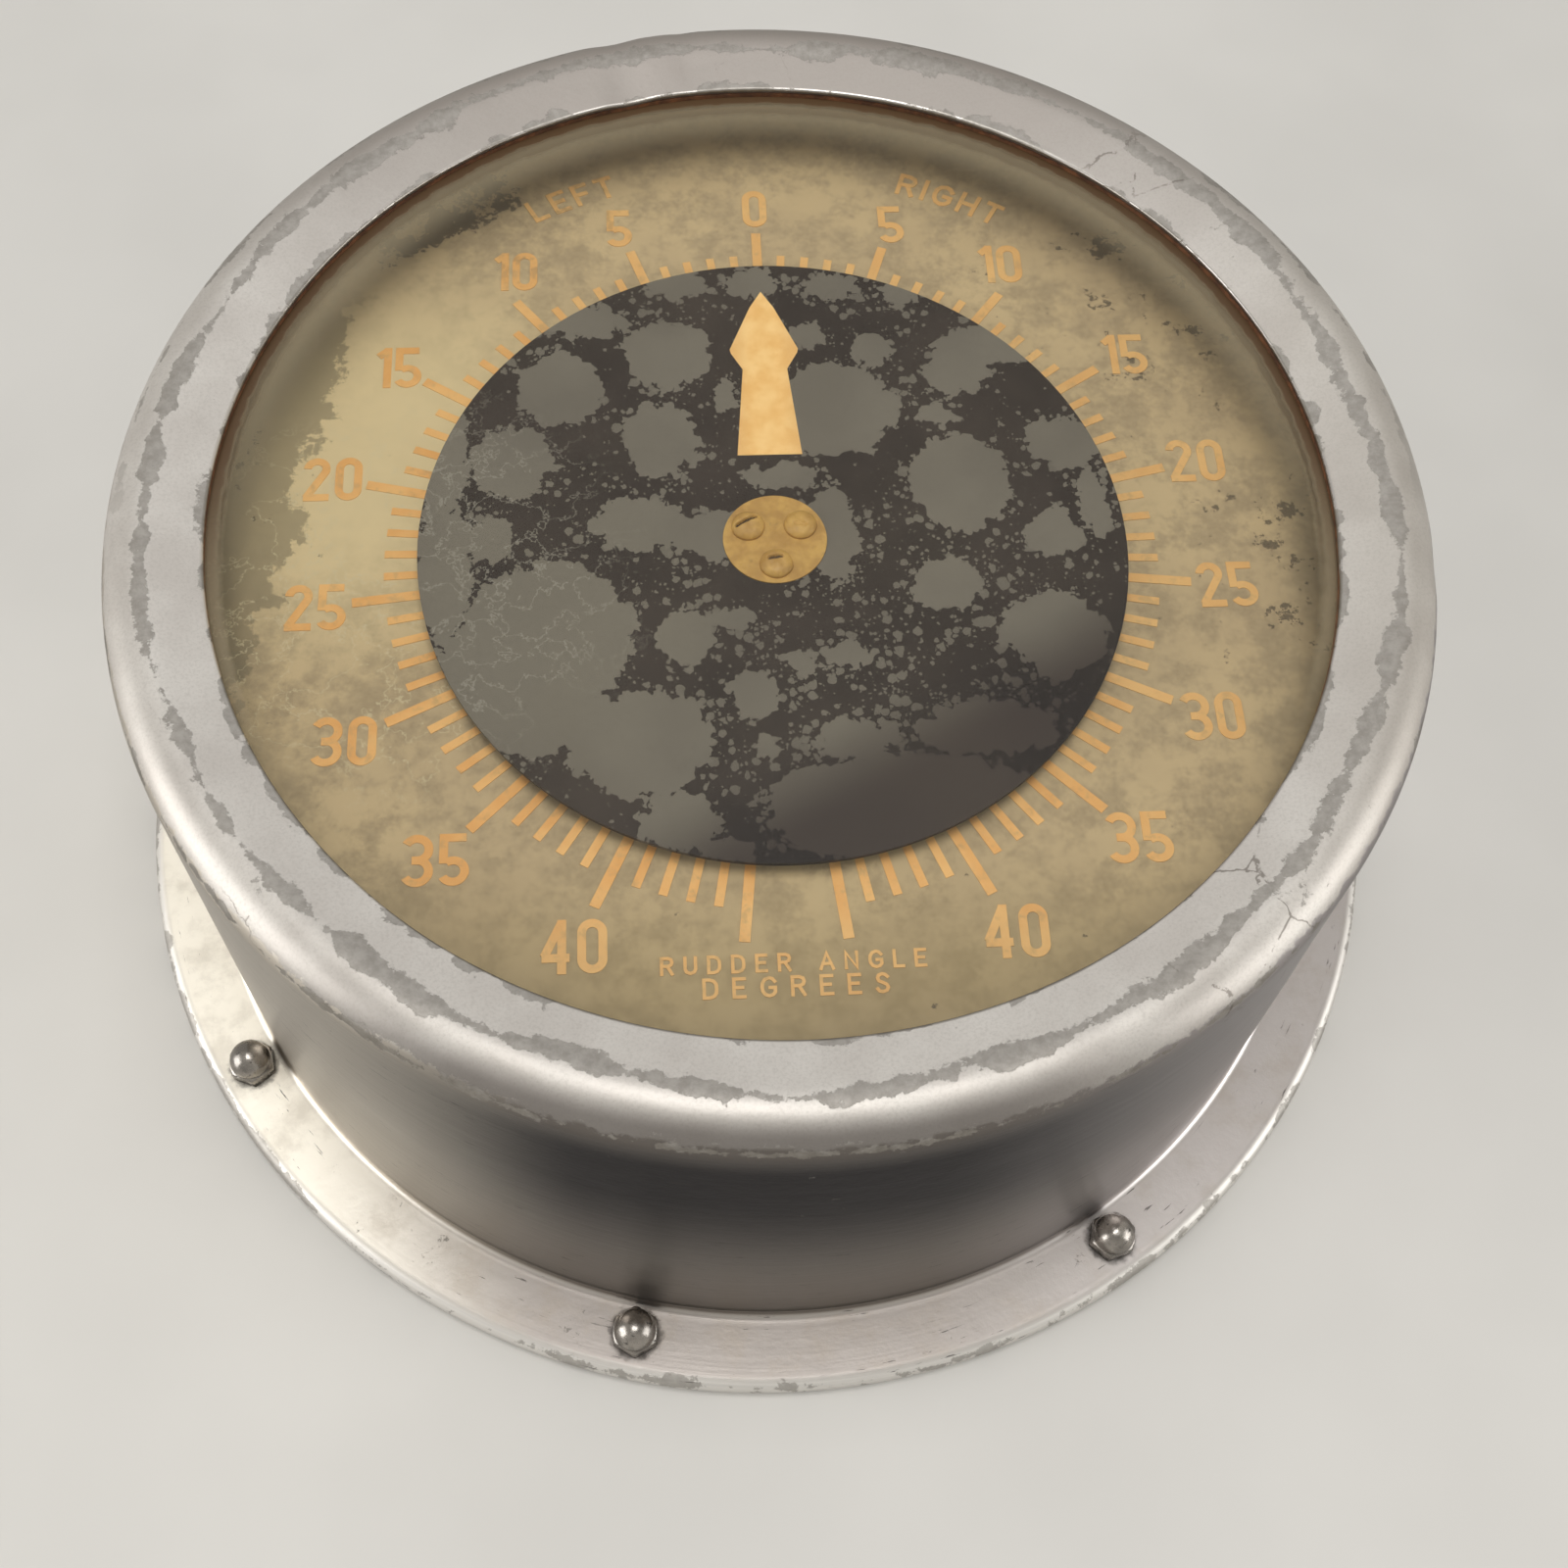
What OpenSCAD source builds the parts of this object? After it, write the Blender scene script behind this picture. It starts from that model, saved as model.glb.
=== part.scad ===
// Rudder angle indicator: a round steering repeater in a spun metal case.
// It lies on its back. The origin is the centre of the back face, +Z comes out
// of the dial and +Y points to the dial's zero. Sizes are in millimetres.

/* [Case] */
// Overall diameter over the rolled edge of the flange
flange_d = 304.8; // [303:0.1:316]
// Overall depth, from the back face to the crest of the front ring
case_h = 127; // [124:0.5:140]
// Diameter of the opening in the front ring
opening_d = 223; // [214:0.5:226]
// How far the edge of the opening lies below the crest
lip_drop = 3.5; // [2.5:0.1:4]
// Thickness of the spun sheet
sheet_t = 1.5; // [1.2:0.1:1.8]
// Radius of the rounded shoulder
shoulder_r = 8.5; // [8:0.1:9]
// Radius from the axis to the shoulder's centre
shoulder_at = 123.3; // [122.5:0.1:124]
// Outer radius of the wall where it meets the flange
foot_r = 136; // [135:0.1:136.5]
// Height of the flange's upper face
flange_top = 6; // [5.8:0.1:6.4]

/* [Flange fasteners] */
// Number of cap nuts round the flange
nut_count = 8; // [4:1:12]
// Radius of the circle of cap nuts
nut_circle_r = 143; // [142.6:0.1:143.4]
// Angle of the first cap nut from +X
nut_turn = 31; // [0:1:44]
// Width of a cap nut across its flats
nut_af = 9.5; // [8.7:0.1:10]
// Height of a cap nut
nut_h = 8.8; // [8:0.1:10]
// Radius of a stud
stud_r = 2.4; // [2:0.05:2.5]

/* [Dial] */
// Depth of the dial's face below the edge of the opening
dial_drop = 18.7; // [17:0.1:20]
// Outer radius of the dial
dial_r = 126; // [120:0.5:128]
// Dial degrees for one degree of rudder
dial_gain = 3.856; // [3.8:0.001:3.9]
// Inner radius of every scale mark
mark_in_r = 70; // [60:0.5:71]
// Outer radius of the five degree marks
major_out_r = 86.6; // [85:0.1:87]
// Outer radius of the one degree marks
minor_out_r = 80; // [78:0.1:82]
// Width of the five degree marks
major_w = 2.1; // [1.8:0.1:2.4]
// Width of the one degree marks
minor_w = 1.75; // [1.4:0.05:2]
// Radius of the circle that the numerals stand on
numeral_r = 94; // [93.8:0.1:95]
// Height of a numeral
numeral_h = 10.8; // [9:0.1:11]
// Width of a numeral's stroke
stroke_w = 1.65; // [1.3:0.05:1.9]

/* [Pointer] */
// Depth of the pointer disc's face below the edge of the opening
disc_drop = 13.7; // [13:0.1:14]
// Radius of the pointer disc
disc_r = 72.6; // [72:0.1:74]
// Radius of the round hole that shows the pointer's carrier
carrier_view_r = 10.7; // [10.5:0.1:11]
// Distance of the arrow's tip from the axis
arrow_tip = 65.2; // [62:0.1:66]

/* [Receiver] */
// Outer radius of the receiver's housing
receiver_r = 28.6; // [28:0.1:30]
// Radius of the rotor shaft
shaft_r = 3.175; // [3:0.005:3.2]
// Radial clearance between turning and fixed parts of a bearing
running_gap = 0.06; // [0.05:0.01:0.08]

/* [Mounting] */
// Radius of the circle of tapped mounting holes in the back plate
mount_circle_r = 115; // [112:0.5:117]
// Radius of a tapped mounting hole
mount_hole_r = 3.2; // [2.6:0.1:3.3]
// Radius of the cable inlet's bore
inlet_r = 6.5; // [5:0.1:7]

/* [Hidden] */
$fn = 96;
eps = 0.02;

// Case heights and radii
lip_r = opening_d / 2;
lip_z = case_h - lip_drop;
shoulder_z = case_h - shoulder_r;
rim_r = flange_top / 2;
rim_at = flange_d / 2 - rim_r;
foot_z = flange_top;
foot_fillet = 2;
// Gap left between soft parts and the faces they lie against
seat_gap = 0.005;
// How far a straight stretch of the sheet runs into the bends beside it, and
// how much thicker it is on either face, so that the pieces join
lap = 0.1;
proud = 0.002;
// Draft angle of the wall, from the tangent at the shoulder to the foot
draft = atan((foot_r - shoulder_at - shoulder_r) / (shoulder_z - foot_z));
// Slope of the flat land between the opening and the shoulder
land_dx = shoulder_at - lip_r;
land_dz = shoulder_z - lip_z;
land_d = sqrt(land_dx * land_dx + land_dz * land_dz);
land_slope = atan2(land_dz, land_dx) + asin(shoulder_r / land_d);
function wall_r(z) = shoulder_at + shoulder_r + (shoulder_z - z) * tan(draft);
function inner_wall_r(z) = wall_r(z) - sheet_t / cos(draft);
// Where the wall ends and the bend of its foot begins
wall_end_z = foot_z + foot_fillet * (1 - sin(draft));
wall_end = [wall_r(wall_end_z), wall_end_z];
fillet_centre = wall_end + foot_fillet * [cos(draft), sin(draft)];

// Glass stack below the opening
gasket_t = 0.8;
glass_t = 3;
glass_r = 117.4;
glass_top = lip_z - sheet_t - gasket_t;
glass_z = glass_top - glass_t;
gasket_z = glass_z - gasket_t;
gasket_in_r = lip_r + 0.4;
ring_t = 1.6;
ring_z = gasket_z - ring_t;
ring_out_r = 124.5;
bracket_count = 6;
bracket_turn = 8;

// Back plate, gripped in the rolled edge, and the posts above it
plate_t = 3;
plate_r = rim_at - rim_r + 0.1;
base_gasket_t = flange_top - sheet_t - plate_t - seat_gap;
boss_r = 9;
boss_h = 9;
deck_z = 70;
deck_t = 2.5;
deck_r = 116;
deck_top = deck_z + deck_t;
deck_post_r = 5;
deck_post_at = 104;
inlet_y = -88;

// Dial and pointer levels
dial_top = lip_z - dial_drop;
dial_t = 1.5;
dial_z = dial_top - dial_t;
print_t = 0.15;
dial_hole_r = 12;
dial_post_r = 4;
dial_post_at = 58;
disc_top = lip_z - disc_drop;
disc_t = 1;
disc_z = disc_top - disc_t;
carrier_t = 1.8;
carrier_r = 16;
carrier_z = disc_z - carrier_t;
carrier_top = disc_top + 0.2;
carrier_screw_at = 6.2;
carrier_screw = [1.5, 3.45, 1.5];
collar_r = 9.5;
collar_z = 97;
shaft_z = 6.4;
shaft_top = carrier_z - 0.4;

// Receiver levels
rear_bell_z = 12;
housing_z = 17;
housing_top = 62;
bell_top = deck_z;
boss_top = 77;
bore_r = 7.94;
race_w = 5;
front_race_z = boss_top - race_w - 1;
rear_race_z = 8;
ball_r = 1.19;
ball_pitch_r = 5.6;
race_r = [4.6, 6.6];
core_out_r = receiver_r - 2;
core_in_r = 15.6;
core_z = 26;
core_top = 52;
end_turn_r = 4.2;

// Screw sizes: shank radius, head radius, head height
small_screw = [1.5, 2.8, 1.8];
deck_screw = [2, 3.8, 2.4];
slot_w = 0.8;
slot_depth = 0.9;

// Terminals and leads
terminal_y = -58;
terminal_count = 7;
terminal_pitch = 9;
terminal_len = terminal_count * terminal_pitch + 3;
terminal_h = 11;
lead_r = 0.9;

// Shared shapes
module ring(r_out, r_in, z, h) {
  translate([0, 0, z]) difference() {
    cylinder(r = r_out, h = h, $fn = 180);
    translate([0, 0, -1]) cylinder(r = r_in, h = h + 2, $fn = 180);
  }
}

module around(count, turn = 0) {
  for (i = [0 : count - 1]) rotate([0, 0, turn + 360 * i / count]) children();
}

module slotted_screw(size, z, length) {
  translate([0, 0, z]) difference() {
    union() {
      translate([0, 0, -length]) cylinder(r = size[0], h = length + eps, $fn = 24);
      cylinder(r = size[1], h = size[2], $fn = 32);
    }
    translate([-size[1] - 1, -slot_w / 2, size[2] - slot_depth])
      cube([2 * size[1] + 2, slot_w, slot_depth + 1]);
  }
}

// A rod from one point to another, for leads and straight wires
module rod(a, b, r) {
  d = b - a;
  len = norm(d);
  translate(a) rotate([0, acos(d[2] / len), atan2(d[1], d[0])])
    cylinder(r = r, h = len, $fn = 16);
}

module lead(points, r) {
  union() {
    for (i = [0 : len(points) - 2]) rod(points[i], points[i + 1], r);
    for (i = [1 : len(points) - 2]) translate(points[i]) sphere(r = r * 1.15, $fn = 16);
  }
}

// Part of a ring's section between two angles, for arcs of the cover's sheet
module arc_section(centre, r_out, thick, from, to) {
  reach = 3 * r_out;
  mid = (from + to) / 2;
  translate(centre) intersection() {
    difference() {
      circle(r = r_out, $fn = 96);
      circle(r = r_out - thick, $fn = 96);
    }
    polygon([[0, 0], reach * [cos(from), sin(from)], reach * [cos(mid), sin(mid)],
      reach * [cos(to), sin(to)]]);
  }
}

// A straight stretch of sheet; the sheet lies to the right of the way from a to b
module strip_section(a, b, thick) {
  way = (b - a) / norm(b - a);
  across = [way[1], -way[0]];
  start = a - lap * way - proud * across;
  end = b + lap * way - proud * across;
  full = (thick + 2 * proud) * across;
  polygon([start + full, end + full, end, start]);
}

// Cover: sloping front ring, rounded shoulder and drafted wall
module cover_section() {
  centre = [shoulder_at, shoulder_z];
  land_end = centre + shoulder_r * [-sin(land_slope), cos(land_slope)];
  wall_start = centre + shoulder_r * [cos(draft), sin(draft)];
  lip = [lip_r, lip_z] + lap * [cos(land_slope), sin(land_slope)];
  strip_section(lip, land_end, sheet_t);
  arc_section(centre, shoulder_r, sheet_t, draft, 90 + land_slope);
  strip_section(wall_start, wall_end - lap * [sin(draft), -cos(draft)], sheet_t);
}

// Flange: turned out of the wall's foot and rolled over at its edge
module flange_section() {
  arc_section(fillet_centre, foot_fillet + sheet_t, sheet_t, 180 + draft, 270);
  strip_section([fillet_centre[0], foot_z], [rim_at, foot_z], sheet_t);
  arc_section([rim_at, rim_r], rim_r, sheet_t, -100, 90);
}

module cover_shell() {
  color("silver") rotate_extrude($fn = 240) cover_section();
}

module cover_flange() {
  color("silver") difference() {
    rotate_extrude($fn = 240) flange_section();
    around(nut_count, nut_turn) translate([nut_circle_r, 0, 0])
      cylinder(r = stud_r + 0.2, h = foot_z + 2, $fn = 32);
  }
}

module acorn_nuts() {
  hex_h = nut_h * 0.42;
  dome_r = nut_af * 0.485;
  color("dimgray") around(nut_count, nut_turn)
    translate([nut_circle_r, 0, flange_top + seat_gap]) difference() {
      union() {
        rotate([0, 0, 30]) cylinder(r = nut_af / sqrt(3), h = hex_h, $fn = 6);
        translate([0, 0, nut_h - dome_r]) sphere(r = dome_r, $fn = 48);
        cylinder(r = dome_r, h = nut_h - dome_r, $fn = 48);
      }
      translate([0, 0, -1]) cylinder(r = stud_r, h = nut_h * 0.7 + 1, $fn = 32);
    }
}

module flange_studs() {
  color("gray") around(nut_count, nut_turn) translate([nut_circle_r, 0, 0.4])
    cylinder(r = stud_r, h = flange_top + nut_h * 0.62, $fn = 32);
}

module base_gasket() {
  color("black") difference() {
    ring(plate_r, foot_r + 1, plate_t, base_gasket_t);
    around(nut_count, nut_turn) translate([nut_circle_r, 0, 0])
      cylinder(r = stud_r, h = flange_top, $fn = 32);
  }
}

// Back plate with blind stud holes, four tapped bosses and the cable inlet
module back_plate() {
  color("darkgray") difference() {
    union() {
      cylinder(r = plate_r, h = plate_t, $fn = 240);
      around(4) translate([mount_circle_r, 0, 0]) cylinder(r = boss_r, h = boss_h, $fn = 48);
      translate([0, inlet_y, 0]) cylinder(r = inlet_r + 6, h = plate_t + 2, $fn = 64);
    }
    around(nut_count, nut_turn) translate([nut_circle_r, 0, 0.4])
      cylinder(r = stud_r, h = plate_t, $fn = 32);
    around(4) translate([mount_circle_r, 0, -1])
      cylinder(r = mount_hole_r, h = boss_h + 2, $fn = 48);
    around(4, 45) translate([deck_post_at, 0, -1]) cylinder(r = deck_screw[0], h = 10, $fn = 24);
    around(4, 45) translate([deck_post_at, 0, 0])
      cylinder(r1 = deck_screw[1], r2 = deck_screw[0], h = 1.8, $fn = 32);
    translate([0, inlet_y, -1]) cylinder(r = inlet_r + 3, h = plate_t + 4, $fn = 64);
  }
}

module back_plate_screws() {
  color("gray") around(4, 45) translate([deck_post_at, 0, 0]) difference() {
    union() {
      cylinder(r1 = deck_screw[1], r2 = deck_screw[0], h = 1.8, $fn = 32);
      cylinder(r = deck_screw[0], h = 12, $fn = 24);
    }
    translate([-5, -slot_w / 2, -1]) cube([10, slot_w, 1 + slot_depth]);
  }
}

// Rubber grommet in the cable inlet, with a groove for the plate
module cable_grommet() {
  color("black") translate([0, inlet_y, 0]) difference() {
    union() {
      cylinder(r = inlet_r + 3, h = plate_t + 2, $fn = 64);
      translate([0, 0, plate_t + 2]) cylinder(r = inlet_r + 5, h = 2.5, $fn = 64);
    }
    translate([0, 0, -1]) cylinder(r = inlet_r, h = 20, $fn = 64);
  }
}

module glass() {
  color("lightcyan", 0.3) translate([0, 0, glass_z]) cylinder(r = glass_r, h = glass_t, $fn = 180);
}

// Channel section rubber: it holds the glass and fills the sloping front ring
module glass_gasket() {
  out_r = glass_r + 1.6;
  slope = tan(land_slope);
  under_lip = lip_z - sheet_t / cos(land_slope) - seat_gap;
  seat = function (r) under_lip + (r - lip_r) * slope;
  color("saddlebrown") rotate_extrude($fn = 180) polygon([
    [gasket_in_r, glass_top], [glass_r, glass_top], [glass_r, glass_z],
    [gasket_in_r + 0.8, glass_z], [gasket_in_r + 0.8, gasket_z], [out_r, gasket_z],
    [out_r, seat(out_r)], [gasket_in_r, seat(gasket_in_r)]]);
}

module glass_retaining_ring() {
  color("peru") difference() {
    ring(ring_out_r, lip_r + 2.4, ring_z, ring_t);
    around(bracket_count, bracket_turn / 2) translate([ring_out_r - 3.5, 0, ring_z - 1])
      cylinder(r = small_screw[0], h = ring_t + 2, $fn = 24);
  }
}

// Angle brackets welded inside the wall, under the retaining ring
module retaining_brackets() {
  low = ring_z - 9;
  thick = 1.2;
  color("gray") difference() {
    around(bracket_count) rotate_extrude(angle = bracket_turn, $fn = 180) polygon([
      [inner_wall_r(low), low], [inner_wall_r(ring_z), ring_z],
      [ring_out_r - 7, ring_z], [ring_out_r - 7, ring_z - thick],
      [inner_wall_r(ring_z - thick) - thick, ring_z - thick],
      [inner_wall_r(low) - thick, low]]);
    around(bracket_count, bracket_turn / 2) translate([ring_out_r - 3.5, 0, ring_z - 3])
      cylinder(r = small_screw[0], h = 6, $fn = 24);
  }
}

module retaining_screws() {
  color("gray") around(bracket_count, bracket_turn / 2)
    translate([ring_out_r - 3.5, 0, ring_z - 1.2]) mirror([0, 0, 1])
      slotted_screw(small_screw, 0, 1.2 + ring_t - 0.1);
}

module dial_plate() {
  color("darkkhaki") difference() {
    ring(dial_r, dial_hole_r, dial_z, dial_t);
    around(4) translate([dial_post_at, 0, dial_z - 1])
      cylinder(r = small_screw[0], h = dial_t + 2, $fn = 24);
  }
}

module mark(degrees, out_r, w) {
  rotate([0, 0, -degrees * dial_gain]) translate([-w / 2, mark_in_r, dial_top])
    cube([w, out_r - mark_in_r, print_t]);
}

module dial_marks() {
  color("sandybrown") for (v = [-45 : 45]) {
    major = v % 5 == 0;
    mark(v, major ? major_out_r : minor_out_r, major ? major_w : minor_w);
  }
}

// Strokes of the numerals, drawn on their centre lines at the dial's face
module bar(a, b) {
  d = b - a;
  translate([a[0], a[1], dial_top]) rotate([0, 0, atan2(d[1], d[0])])
    translate([0, -stroke_w / 2, 0]) cube([norm(d), stroke_w, print_t]);
}

module bow(centre, r, from, to) {
  translate([centre[0], centre[1], dial_top]) rotate([0, 0, from])
    rotate_extrude(angle = to - from, $fn = 48) translate([r - stroke_w / 2, 0])
      square([stroke_w, print_t]);
}

// Half width and half height of a numeral's centre line, and its edge
gw = 1.95;
gh = numeral_h / 2 - stroke_w / 2;
ge = numeral_h / 2;
module numeral(n) {
  if (n == 0) {
    bow([0, gh - gw], gw, 0, 180);
    bow([0, gw - gh], gw, 180, 360);
    for (x = [-gw, gw]) bar([x, gw - gh - eps], [x, gh - gw + eps]);
  }
  if (n == 1) {
    bar([0.6, -ge], [0.6, ge]);
    bar([0.4, gh], [-1.4, gh - 1.5]);
  }
  if (n == 2) {
    bow([0, gh - gw], gw, -32, 175);
    bar([-gw, -gh], [gw * cos(-32), gh - gw + gw * sin(-32)]);
    bar([-gw - stroke_w / 3, -gh], [gw + stroke_w / 2, -gh]);
  }
  if (n == 3) {
    bow([-0.3, gh / 2], gh / 2, -90, 150);
    bow([-0.3, 0.05 - gh / 2], gh / 2 + 0.05, -150, 90);
    bar([-1.2, 0.05], [eps - 0.3, 0.05]);
  }
  if (n == 4) {
    bar([1.05, -ge], [1.05, ge]);
    bar([-2.2, -1.9], [0.9, gh]);
    bar([-2.65, -2.2], [2.5, -2.2]);
  }
  if (n == 5) {
    bar([-gw - stroke_w / 2, gh], [gw + 0.35, gh]);
    bar([-gw, gh], [-gw, -0.75]);
    bow([-0.1, gw + 0.25 - gh], gw + 0.25, -150, 128);
  }
}

// A number of one or two digits, upright, centred on its place by the scale
module number(v) {
  tens = floor(v / 10);
  pitch = tens == 1 ? 2.5 : 3.35;
  if (tens == 0) numeral(v);
  if (tens > 0) {
    translate([-pitch, 0, 0]) numeral(tens);
    translate([pitch, 0, 0]) numeral(v % 10);
  }
}

// The 10s are turned a little towards the 0, and the numerals from 30 on stand further out
ten_turn = 3;
low_shift = 1.2;
module dial_numerals() {
  color("sandybrown") for (v = [-40 : 5 : 40]) {
    turn = v * dial_gain - (abs(v) == 10 ? sign(v) * ten_turn : 0);
    out = numeral_r + (abs(v) >= 30 ? low_shift : 0);
    translate([out * sin(turn), out * cos(turn), 0]) number(abs(v));
  }
}

module dial_screws() {
  color("gray") around(4) translate([dial_post_at, 0, 0]) slotted_screw(small_screw, dial_top, 6);
}

module dial_posts() {
  color("silver") around(4) translate([dial_post_at, 0, deck_top]) difference() {
    cylinder(r = dial_post_r, h = dial_z - deck_top, $fn = 48);
    translate([0, 0, dial_z - deck_top - 5])
      cylinder(r = small_screw[0], h = 6, $fn = 24);
  }
}

lamp_at = 84;
socket_r = 6;
module lamp_deck() {
  color("white") difference() {
    ring(deck_r, 13.4, deck_z, deck_t);
    around(4, 45) translate([deck_post_at, 0, deck_z - 1])
      cylinder(r = deck_screw[0], h = deck_t + 2, $fn = 24);
    around(4, 45) translate([lamp_at, 0, deck_z - 1])
      cylinder(r = socket_r, h = deck_t + 2, $fn = 48);
    around(3, 90) translate([35, 0, deck_z - 1])
      cylinder(r = small_screw[0], h = deck_t + 2, $fn = 24);
  }
}

module deck_posts() {
  color("silver") around(4, 45) translate([deck_post_at, 0, plate_t]) difference() {
    cylinder(r = deck_post_r, h = deck_z - plate_t, $fn = 48);
    translate([0, 0, -1]) cylinder(r = deck_screw[0], h = 10, $fn = 24);
    translate([0, 0, deck_z - plate_t - 8]) cylinder(r = deck_screw[0], h = 9, $fn = 24);
  }
}

module deck_screws() {
  color("gray") around(4, 45) translate([deck_post_at, 0, 0])
    slotted_screw(deck_screw, deck_top, deck_t + 7.5);
}

module lamp_sockets() {
  color("goldenrod") around(4, 45) translate([lamp_at, 0, deck_z - 10]) difference() {
    union() {
      cylinder(r = socket_r, h = 20, $fn = 48);
      translate([0, 0, 10 + deck_t]) cylinder(r = socket_r + 1.6, h = 1.2, $fn = 48);
    }
    translate([0, 0, 8]) cylinder(r = socket_r - 1, h = 13, $fn = 48);
  }
}

module lamps() {
  color("lightyellow") around(4, 45) translate([lamp_at, 0, deck_z - 2]) {
    cylinder(r = socket_r - 1.2, h = 12, $fn = 48);
    translate([0, 0, 17]) sphere(r = socket_r - 0.6, $fn = 48);
    translate([0, 0, 11]) cylinder(r = 3.4, h = 4, $fn = 48);
  }
}

// Clamps that grip the receiver's front flange from below
flange_lip_r = receiver_r + 2.6;
module receiver_clamps() {
  color("silver") around(3, 90) difference() {
    union() {
      translate([flange_lip_r + 0.1, -5, bell_top - 6.5]) cube([9, 10, 6.5]);
      translate([receiver_r + 0.3, -5, bell_top - 6.5]) cube([6, 10, 2.4]);
    }
    translate([35, 0, bell_top - 8]) cylinder(r = small_screw[0], h = 10, $fn = 24);
  }
}

module clamp_screws() {
  color("gray") around(3, 90) translate([35, 0, 0]) slotted_screw(small_screw, deck_top, deck_t + 6);
}

// End bells with bearing seats; the front one has the mounting flange
module front_end_bell() {
  color("darkgray") difference() {
    union() {
      translate([0, 0, housing_top]) cylinder(r = receiver_r, h = bell_top - housing_top, $fn = 96);
      translate([0, 0, bell_top - 4]) cylinder(r = flange_lip_r, h = 4, $fn = 96);
      translate([0, 0, bell_top]) cylinder(r = 13, h = boss_top - bell_top, $fn = 64);
    }
    translate([0, 0, housing_top - 1]) cylinder(r = shaft_r + 1.5, h = 20, $fn = 48);
    translate([0, 0, housing_top - 1]) cylinder(r = 24, h = 4, $fn = 96);
    translate([0, 0, front_race_z]) cylinder(r = bore_r, h = 20, $fn = 96);
  }
}

module rear_end_bell() {
  color("darkgray") difference() {
    union() {
      translate([0, 0, rear_bell_z]) cylinder(r = receiver_r, h = housing_z - rear_bell_z, $fn = 96);
      translate([0, 0, rear_race_z - 2]) cylinder(r = 12, h = 7, $fn = 64);
    }
    translate([0, 0, rear_race_z]) cylinder(r = bore_r, h = race_w, $fn = 96);
    translate([0, 0, rear_race_z + race_w - eps]) cylinder(r = shaft_r + 1.5, h = 10, $fn = 48);
    translate([0, 0, rear_race_z - 3]) cylinder(r = bore_r, h = 4, $fn = 96);
  }
}

module stator_housing() {
  color("silver") ring(receiver_r, core_out_r, housing_z, housing_top - housing_z);
}

// Laminated stator: a ring with winding slots that open to the bore
module stator_core() {
  color("dimgray") difference() {
    ring(core_out_r, core_in_r, core_z, core_top - core_z);
    around(12) translate([core_in_r - 1, -1.6, core_z - 1]) cube([7, 3.2, core_top - core_z + 2]);
  }
}

module stator_windings() {
  color("sienna") {
    around(12) translate([core_in_r + 0.5, -1.4, core_z - 1]) cube([5.2, 2.8, core_top - core_z + 2]);
    for (z = [core_z - end_turn_r, core_top + end_turn_r])
      rotate_extrude($fn = 96) translate([core_in_r + 1.2 + end_turn_r, z])
        circle(r = end_turn_r, $fn = 32);
  }
}

// Ball bearings: grooved races and their balls, at both ends of the shaft
module race(r_out, r_in, z) {
  difference() {
    ring(r_out, r_in, z, race_w);
    translate([0, 0, z + race_w / 2]) rotate_extrude($fn = 96) translate([ball_pitch_r, 0])
      circle(r = ball_r + running_gap, $fn = 32);
  }
}

module bearing_outer_races() {
  color("lightsteelblue") for (z = [front_race_z, rear_race_z]) race(bore_r, race_r[1], z);
}

module bearing_inner_races() {
  color("lightsteelblue") for (z = [front_race_z, rear_race_z]) race(race_r[0], shaft_r, z);
}

module bearing_balls() {
  color("silver") for (z = [front_race_z, rear_race_z])
    around(8) translate([ball_pitch_r, 0, z + race_w / 2]) sphere(r = ball_r, $fn = 24);
}

brush_z = [18.8, 21.6];
ring_w = 1.6;
module brush_block() {
  color("saddlebrown") difference() {
    translate([8, -4, housing_z]) cube([7, 8, 7]);
    for (z = brush_z) translate([7, -1, z - 0.8]) cube([9, 2, 1.6]);
  }
}

module brushes() {
  color("dimgray") for (z = brush_z) translate([5.5 + running_gap, -1, z - 0.8]) cube([8, 2, 1.6]);
}

module terminal_block() {
  color("saddlebrown") translate([-terminal_len / 2, terminal_y - 11, plate_t]) difference() {
    cube([terminal_len, 22, terminal_h]);
    for (i = [0 : terminal_count - 1])
      translate([3 + i * terminal_pitch, -1, terminal_h - 4]) cube([terminal_pitch - 3, 24, 5]);
  }
}

function terminal_x(i) = (i + 0.5 - terminal_count / 2) * terminal_pitch;
module terminal_screws() {
  color("goldenrod") for (i = [0 : terminal_count - 1]) for (y = [-5.5, 5.5])
    translate([terminal_x(i), terminal_y + y, 0])
      slotted_screw([1.2, 2.4, 1.6], plate_t + terminal_h - 4, 0);
}

// Each lead starts on the floor of a terminal's groove, at its screw's head
lead_y = terminal_y + 8.5;
lead_bend_y = terminal_y + 12.5;
lead_z = plate_t + terminal_h - 4 + lead_r + seat_gap;
// Five leads from the terminal block to the receiver's housing
module receiver_leads() {
  turn_z = 22;
  color("firebrick") difference() {
    for (i = [0 : 4]) {
      x = terminal_x(i);
      end_x = x * 0.35 + 0.4;
      end_y = -sqrt(receiver_r * receiver_r - end_x * end_x) + 1;
      lead([[x, lead_y, lead_z], [x, lead_bend_y, lead_z],
        [x, lead_bend_y + turn_z - lead_z, turn_z], [end_x, end_y, turn_z]], lead_r);
    }
    translate([0, 0, housing_z]) cylinder(r = receiver_r + seat_gap, h = 12, $fn = 180);
  }
}

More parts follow.
